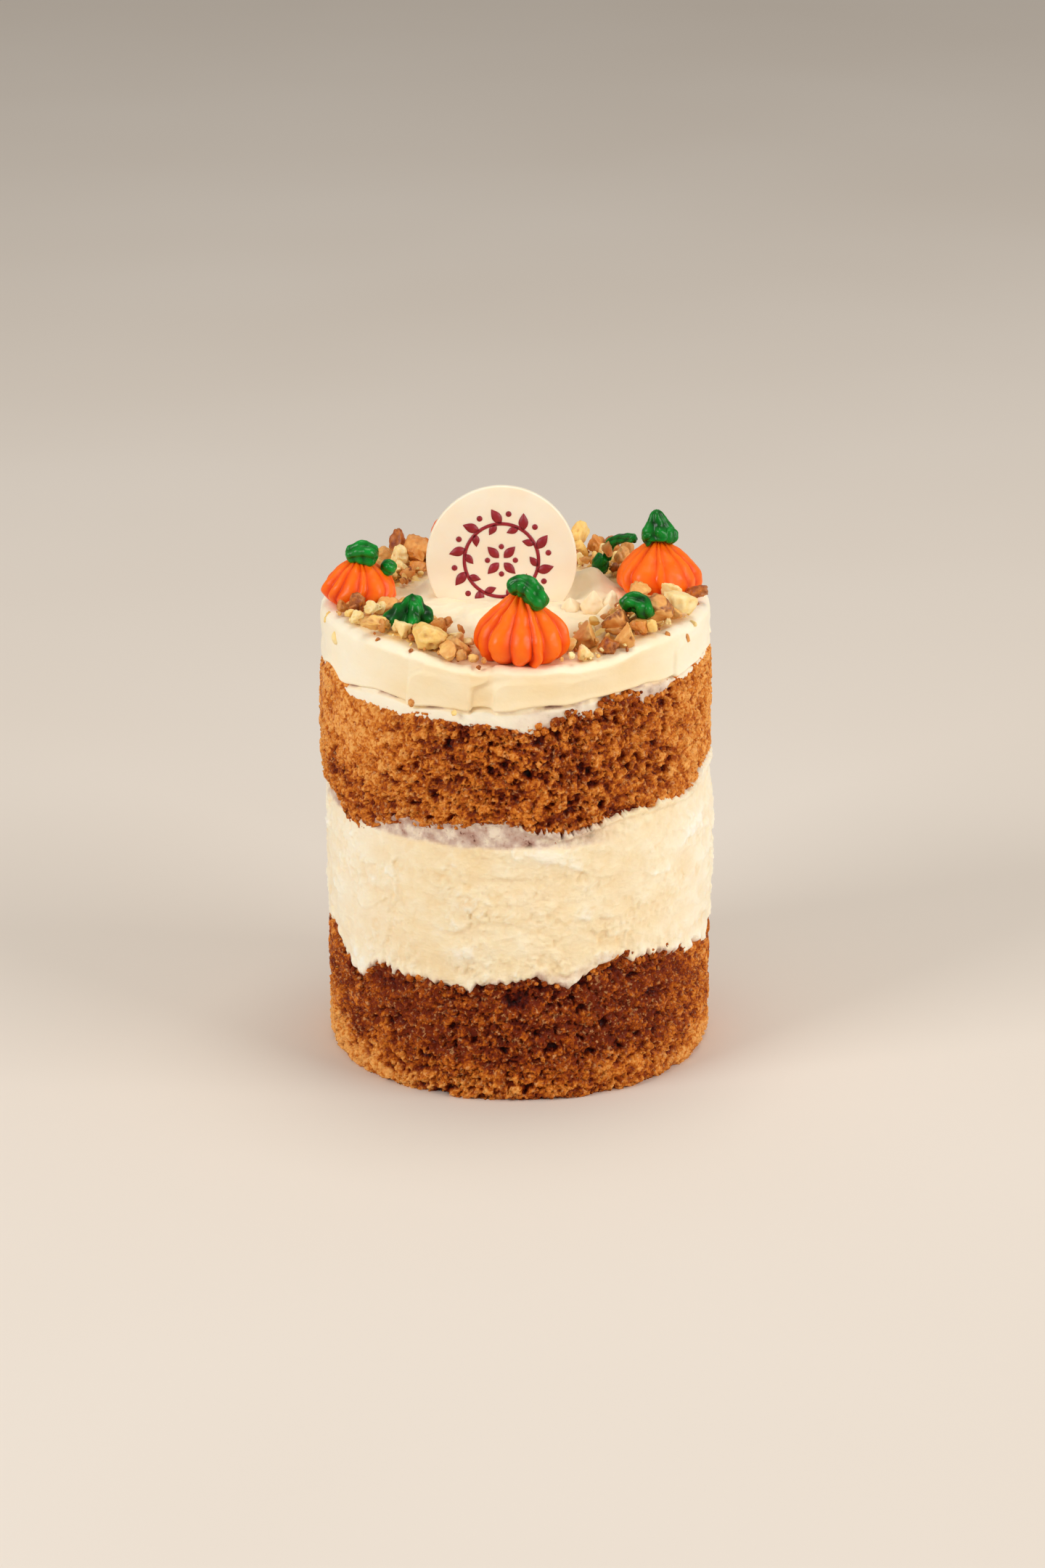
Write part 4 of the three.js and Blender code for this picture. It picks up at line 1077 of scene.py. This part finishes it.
def print_ring(radius, width, sides):
    """A flat ring, as a closed band with four corners across."""
    angle = turns_of(sides)
    reach = radius + np.array([[-1], [1], [1], [-1]]) * width / 2
    out = np.array([[PRINT_BACK], [PRINT_BACK], [PRINT_FRONT], [PRINT_FRONT]])
    points = on_disc(reach * np.cos(angle), reach * np.sin(angle), out).reshape(-1, 3)
    column = np.arange(sides)
    beside = (column + 1) % sides
    corner = sides * np.arange(4)[:, None]
    following = np.roll(corner, -1, axis=0)
    bands = [corner + column, following + column, following + beside, corner + beside]
    return Shape(points, [np.stack(bands, axis=-1).reshape(-1, 4)])


def disc_print():
    """A plain wreath: a ring with leaves to both sides and dots, and four leaves and dots within."""
    shapes = [print_ring(WREATH["radius"], WREATH["width"], WREATH["sides"])]
    for index in range(WREATH["pairs"]):
        azimuth = 360 * (index + 0.5) / WREATH["pairs"]
        for beyond, length, width, tilt in WREATH_LEAVES:
            shapes.append(print_leaf(WREATH["radius"], azimuth + beyond, length, width, tilt))
        dot_azimuth = azimuth + OUTER_DOTS["beyond"]
        shapes.append(print_dot(OUTER_DOTS["reach"], dot_azimuth, OUTER_DOTS["radius"]))
    for azimuth in range(0, 360, 90):
        shapes.append(print_leaf(0.9, azimuth + 45, 4.2, 2.3, 0))
        shapes.append(print_dot(INNER_DOTS["reach"], azimuth, INNER_DOTS["radius"]))
    return joined(shapes)


make("chocolate_disc_face", chocolate_disc(), CHOCOLATE, "white_chocolate", "chocolate_disc")
make("disc_wreath", disc_print(), CRIMSON, "white_chocolate")

# ---- Pumpkins ----

RIB_COLUMNS = 16
PUMPKIN_ROWS = 56
TIP = (1.0, 0.03)  # the profile's last knot
# How unevenly a pumpkin is piped: how much ribs shrink, shares of the full groove depth, how much
# their feet spread, how far the grooves lie off their even places, and degrees of sway.
PIPING = dict(shrink=0.13, grooves=(0.45, 1.25), feet=(-0.08, 0.13), uneven=0.34, sway=6)


def pumpkin(x, y, radius, height, ribs, turn, seed):
    """A piped pumpkin: round ridges from a star nozzle, with sharp grooves, closing to a point."""
    profile = spline([*PUMPKIN_PROFILE, TIP], PUMPKIN_ROWS)
    rise, width = profile[:, :1], profile[:, 1:]
    rng = np.random.default_rng(seed)
    rib_size = 1 - PIPING["shrink"] * rng.random(ribs)
    valley = rng.uniform(*PIPING["grooves"], ribs + 1)
    valley[-1] = valley[0]
    foot = rng.uniform(*PIPING["feet"], ribs)
    off = PIPING["uneven"] * rng.uniform(-1, 1, ribs + 1)
    edges = (np.arange(ribs + 1) + off) * 360 / ribs
    edges[-1] = edges[0] + 360
    rib, step = np.divmod(np.arange(ribs * RIB_COLUMNS), RIB_COLUMNS)
    within = step / RIB_COLUMNS
    azimuth = edges[rib] + within * (edges[rib + 1] - edges[rib])
    crest = np.sin(np.pi * within)
    cut = valley[rib] + within * (valley[rib + 1] - valley[rib])
    depth = RIB_DEPTH * cut * (1 - 0.3 * rise) + 0.06 * ease(rise, 0.25, 0.0)
    groove = (1 - depth * (1 - crest)) * (1 - (1 - rib_size[rib]) * crest)
    groove *= 1 + foot[rib] * crest * ease(rise, 0.3, 0.05)
    sway = noise(triples(10 * rise, 0.05 * rib, 0), 3, seed + 5)
    azimuth = azimuth + turn * (1 + 2 * rise) + PIPING["sway"] * sway
    seat = top_height(x, y) + GAP
    level = seat + rise * height * (1 - 0.05 * (1 - crest))
    rings = (x, y, 0) + polar(azimuth, radius * width * groove, level)
    push = waves(rings, (0.6, 6, seed), (0.22, 2.6, seed + 1), (0.05, 1.1, seed + 2))
    rings = pushed(rings, (x, y, seat + 0.4 * height), push)
    rings[..., 2] = np.maximum(rings[..., 2], seat - 0.2)
    # Painted shade and highlight: this mark darkens the grooves and lightens the crests.
    outward = 1 - np.minimum(cut, 1) * (1 - crest) * (1 - 0.5 * rise)
    marks = triples(outward, rib_size[rib] * 10 % 1, 0)
    return through_rings((x, y, seat), rings, (x, y, seat + height), marks)


# ---- Green icing ----

ROPE = dict(steps=46, sides=44, lumps=0.16)
LEAF_COLUMNS = 180
LEAF_ROWS = 40


def rope(line, seed):
    """A lumpy rope of icing along a curve, rounded at both ends."""
    curve = spline(line, ROPE["steps"])
    path, thick = curve[:, :3], curve[:, 3:]
    tangent = np.gradient(path, axis=0)
    tangent /= np.linalg.norm(tangent, axis=1)[:, None]
    normal = np.cross(tangent, np.eye(3)[np.argmin(np.abs(tangent.mean(axis=0)))])
    normal /= np.linalg.norm(normal, axis=1)[:, None]
    second = np.cross(tangent, normal)
    share = rows_of(ROPE["steps"])
    length = np.linalg.norm(np.diff(path, axis=0), axis=1).sum()
    cap = np.minimum(1, np.minimum(share, 1 - share) * length / (0.8 * thick.min()))
    thick = thick * np.sqrt(1 - (1 - cap) ** 2 * 0.97)
    angle = turns_of(ROPE["sides"])
    grooves = np.abs(np.sin(2.5 * angle + 1.3 * share + seed)) ** 0.7
    pleat = np.abs(np.sin(math.pi * share * length / 3.1 + 1.6 * np.sin(angle + seed)))
    thick = thick * (0.8 + 0.3 * grooves + 0.05 * pleat)
    middle = path[:, None]
    turn = angle[:, None]
    out = thick[..., None] * (np.cos(turn) * normal[:, None] + np.sin(turn) * second[:, None])
    lumps = ROPE["lumps"]
    bumps = waves(middle + out, (1.5 * lumps, 3.4, seed), (0.35 * lumps, 1.6, seed + 1))
    bumps = bumps - 0.5 * lumps * np.abs(noise(middle + out, 2.6, seed + 2))
    rings = middle + out * (1 + bumps)[..., None] * 1.04
    # Painted shade and highlight: this mark darkens the grooves and lightens the lumps.
    outward = np.clip(0.35 * grooves + 0.35 * pleat + 1.4 * bumps, 0, 1)
    marks = triples(outward, seed % 7 / 7, 0)
    return through_rings(path[0] - 0.1 * tangent[0], rings, path[-1] + 0.1 * tangent[-1], marks)


def ropes(lines, seed):
    return joined([rope(line, seed + 5 * index) for index, line in enumerate(lines)])


def folded_leaf():
    """The folded leaf: ridges run down from its apex along the arms, with hollows between them."""
    x, y, height, foot = (FOLDED_LEAF[key] for key in ("x", "y", "height", "foot"))
    apex_x, apex_y = FOLDED_LEAF["apex"]
    floor = top_height(x, y) + NUT_BED["thickness"]
    azimuth = np.arange(LEAF_COLUMNS) * 360 / LEAF_COLUMNS
    outline = foot
    for toward, length in FOLDED_LEAF["arms"]:
        off = np.abs((azimuth - toward + 540) % 360 - 180) / (FOLDED_LEAF["spread"] * 1.1)
        outline = np.maximum(outline, foot + (length - foot) * np.exp(-off * off))
    levels = spline(FOLDED_LEAF["levels"], LEAF_ROWS)
    rise, width = levels[:, :1], np.maximum(levels[:, 1:], 0.02)
    sharp = (outline / outline.max()) ** (0.12 * np.sin(np.pi * rise))
    fold = 1 + 0.07 * np.sin(np.radians(azimuth * 7) + 3 * rise) * np.sin(np.pi * rise**0.7)
    reach = outline * width * sharp * fold * (1 + 0.16 * np.sin(np.pi * rise))
    lean = triples(x + apex_x * rise, y + apex_y * rise, 0)
    rings = lean + polar(azimuth, reach, floor + rise * height)
    ruffle = waves(rings, (0.9, 2.8, 951), (0.12, 1.3, 952))
    rings = pushed(rings, (x, y, floor + 0.35 * height), ruffle)
    # Painted shade and highlight: the folds are darker and the ruffle's swells lighter.
    marks = triples(np.clip(0.45 + 0.8 * ruffle + 2 * (fold - 1), 0, 1), 0, 0)
    return through_rings((x, y, floor), rings, (x + apex_x, y + apex_y, floor + height), marks)


for number, (place, sizes) in enumerate(PUMPKINS.items()):
    shape = pumpkin(**sizes, seed=60 + number)
    make(f"pumpkin_{place}_piped", shape, ORANGE, "icing_orange", f"pumpkin_{place}")
    shape = ropes(STEMS[place], 80 + 10 * number)
    make(f"stem_{place}_piped", shape, GREEN, "icing_green", f"stem_{place}")
for number, (place, lines) in enumerate(LEAVES.items()):
    shape = ropes(lines, 130 + 10 * number)
    make(f"leaf_{place}_piped", shape, GREEN, "icing_green", f"leaf_{place}")
make("leaf_front_left_piped", folded_leaf(), GREEN, "icing_green", "leaf_front_left")

# ---- Walnuts ----

# A piece's tone, from 0 for pale to 1 for brown, and how much of its skin shows.
TONES = dict(
    cream=(0.08, 0.08), gold=(0.26, 0.08), tan=(0.42, 0.4), pink=(0.52, 0.35), amber=(0.66, 0.3),
    dark=(0.9, 0.7), skin=(0.6, 0.9),
)
SMALL_TONES = ["cream", "gold", "tan", "pink", "amber", "dark"]
# The small pieces strewn over each heap, as ranges of size and of radius from the axis.
STREWN = [
    dict(count=34, size=(1.4, 3.4), radius=(31, 46.5), inset=1, lift=0.6, level=MEDIUM, cuts=3),
    dict(count=70, size=(0.5, 1.3), radius=(30, 48), inset=0, lift=0.2, level=COARSE, cuts=2),
]
BED_GRID = dict(columns=130, rows=30)
# The bed's crumbs: their size and greatest height, how far its face and its underside lie below the
# cream's top face, and how far its edges wander.
BED_CRUMBS = dict(size=2.0, tallest=1.5, sunk=0.45, root=0.9, wander=1.3)
FULL_SIZE = 1.05  # a larger piece's size over the size in its list


def nut(place, size, tone, rng, level, cuts):
    """A chopped piece of walnut: wrinkled skin outside, and flat pale faces where it was cut."""
    points, faces = BALLS[level]
    seed = int(rng.integers(1, 5000))
    wrinkle = 0.32 * np.abs(noise(points * 1.9 + seed, 1, seed))
    wrinkle = wrinkle + 0.24 * noise(points * 1.1 + seed, 1, 7)
    shaped = points * (1 - wrinkle)[:, None] * rng.uniform(0.75, 1.25, 3)
    skin = 1.0
    for _ in range(cuts):
        normal = rng.normal(size=3)
        normal /= np.linalg.norm(normal)
        beyond = shaped @ normal - rng.uniform(0.3, 0.7)
        beyond = beyond + 0.07 * layered(shaped * 2.4 + seed, 1, 2, seed + 3)
        push = 0.5 * (beyond + np.sqrt(beyond * beyond + 0.07))
        shaped = shaped - normal * push[:, None]
        skin = np.minimum(skin, ease(push, 0.22, 0.11))
    angle = rng.uniform(0, 2 * np.pi)
    x, y, z = shaped.T
    cos, sin = math.cos(angle), math.sin(angle)
    shaped = triples(cos * x - sin * y, sin * x + cos * y, z)
    brown, skin_share = TONES[tone]
    marks = triples(skin * skin_share, brown, np.clip(1 - 2.2 * wrinkle, 0, 1))
    return Shape(shaped * size / np.ptp(shaped, axis=0).mean() + place, [faces], marks)


def nut_place(azimuth, radius, size, lift):
    x, y = polar(azimuth, radius, 0.0)[:2]
    return np.array([x, y, top_height(x, y) + GAP + 0.47 * size + lift])


def nut_bed(start, end, seed):
    """The crumbs that a heap lies on: a thin lumpy layer with a ragged outline."""
    azimuth = np.linspace(start + 1, end - 1, BED_GRID["columns"])[:, None]
    across = np.linspace(0, 1, BED_GRID["rows"])
    ends = ease(np.minimum(azimuth - start, end - azimuth), 0, 8)
    middle = (NUT_BED["inner"] + NUT_BED["outer"]) / 2
    half = (NUT_BED["outer"] - NUT_BED["inner"]) / 2
    wander = BED_CRUMBS["wander"] * noise(polar(azimuth, 40.0, 0.0), 6, seed)
    radius = middle + (half - 0.8) * (2 * across - 1) * (0.55 + 0.45 * ends) + wander * (2 * across - 1)
    points = polar(azimuth, radius, 0.0)
    near, _, grain = cells(points, BED_CRUMBS["size"], seed)
    heap = ease(np.minimum(across, 1 - across), 0, 0.16) * ease(ends, 0, 0.5)
    lump = 0.25 + (1 - np.clip(near, 0, 1) ** 2) * grain + 0.2 * noise(points, 1.2, seed + 1)
    base = top_height(points[..., 0], points[..., 1])
    crumbs = np.clip(heap * lump, 0, BED_CRUMBS["tallest"])
    top = points + triples(0, 0, base - BED_CRUMBS["sunk"] + crumbs)
    under = points + triples(0, 0, base - BED_CRUMBS["root"])
    rings = np.concatenate([top, under[:, ::-1]], axis=1)
    tone = np.clip(0.2 + 0.5 * grain**2 * heap, 0, 1)
    tone = np.concatenate([tone, tone[:, ::-1]], axis=1)
    return through_rings(rings[0].mean(axis=0), rings, rings[-1].mean(axis=0), triples(0, tone, 0.8))


def nut_heap(seed, span, pieces, strays=()):
    """A heap of chopped walnuts: its crumb bed, its larger pieces, and small ones between them."""
    rng = np.random.default_rng(seed)
    start, end = span
    shapes = [nut_bed(start, end, seed)]
    for azimuth, radius, size, lift, tone in pieces:
        middle = nut_place(azimuth, radius, size, lift)
        shapes.append(nut(middle, size * FULL_SIZE, tone, rng, FINE, 4))
    for azimuth, radius, height, size, tone in strays:
        shapes.append(nut(polar(azimuth, radius, height), size, tone, rng, MEDIUM, 3))
    for small in STREWN:
        for _ in range(small["count"]):
            size = rng.uniform(*small["size"])
            azimuth = rng.uniform(start + small["inset"], end - small["inset"])
            place = nut_place(azimuth, rng.uniform(*small["radius"]), size, small["lift"])
            tone = SMALL_TONES[rng.integers(len(SMALL_TONES))]
            shapes.append(nut(place, size, tone, rng, small["level"], small["cuts"]))
    return joined(shapes)


for number, (place, heap) in enumerate(NUT_HEAPS.items()):
    shape = nut_heap(41 + number, **heap)
    make(f"nuts_{place}_chopped", shape, WALNUT, "walnut", f"nuts_{place}")

# ---- Floor, light and camera ----

LIGHTS = [  # name, place, size and power of the square soft lights
    ("key_left", (-1.15, -0.75, 0.85), 0.7, 12),
    ("fill_right", (1.25, -0.6, 0.7), 0.9, 13),
    ("overhead", (0.1, 0.2, 1.3), 0.6, 4),
]
LIT_POINT = (0, 0, 0.08)
SKY = dict(color=(1.0, 0.97, 0.93, 1.0), strength=0.38)
CAMERA = dict(y=-1100.4, z=468.5, down=19.95, yaw=0.08, roll=-0.31, lens=102.03, sensor=36.0)


def stage_floor():
    bpy.ops.mesh.primitive_plane_add(size=12, location=(0, 3, 0))
    floor = bpy.context.object
    floor.name = "floor"
    floor.data.materials.append(clouded_material(
        "floor", 0.7, (300, 2, 0.3, 0.7), [(226, 214, 200), (230, 219, 206)], specular=0.2
    ))


def softbox(name, place, size, power):
    """A square soft light that faces the cake."""
    light = bpy.data.lights.new(name, "AREA")
    light.shape = "SQUARE"
    light.size = size
    light.energy = power
    lamp = bpy.data.objects.new(name, light)
    lamp.location = place
    lamp.rotation_euler = (Vector(LIT_POINT) - lamp.location).to_track_quat("-Z", "Y").to_euler()
    bpy.context.scene.collection.objects.link(lamp)


def sky(color, strength):
    world = bpy.data.worlds.new("studio")
    world.use_nodes = True
    world.node_tree.nodes["Background"].inputs["Color"].default_value = color
    world.node_tree.nodes["Background"].inputs["Strength"].default_value = strength
    bpy.context.scene.world = world


def camera():
    """The camera where the photo's was, worked out from the cake's outline."""
    down, yaw, roll = (math.radians(CAMERA[key]) for key in ("down", "yaw", "roll"))
    forward = Vector((math.sin(yaw) * math.cos(down), math.cos(yaw) * math.cos(down), -math.sin(down)))
    right = Vector((math.cos(yaw), -math.sin(yaw), 0))
    up = right.cross(forward)
    rolled_right = right * math.cos(roll) + up * math.sin(roll)
    rolled_up = up * math.cos(roll) - right * math.sin(roll)
    lens = bpy.data.cameras.new("camera")
    lens.lens = CAMERA["lens"]
    lens.sensor_width = CAMERA["sensor"]
    viewer = bpy.data.objects.new("camera", lens)
    turned = Matrix((rolled_right, rolled_up, -forward)).transposed().to_4x4()
    viewer.matrix_world = Matrix.Translation((0, CAMERA["y"] * MM, CAMERA["z"] * MM)) @ turned
    bpy.context.scene.collection.objects.link(viewer)
    bpy.context.scene.camera = viewer


stage_floor()
for light in LIGHTS:
    softbox(*light)
sky(**SKY)
camera()
bpy.context.scene.view_settings.view_transform = "Standard"
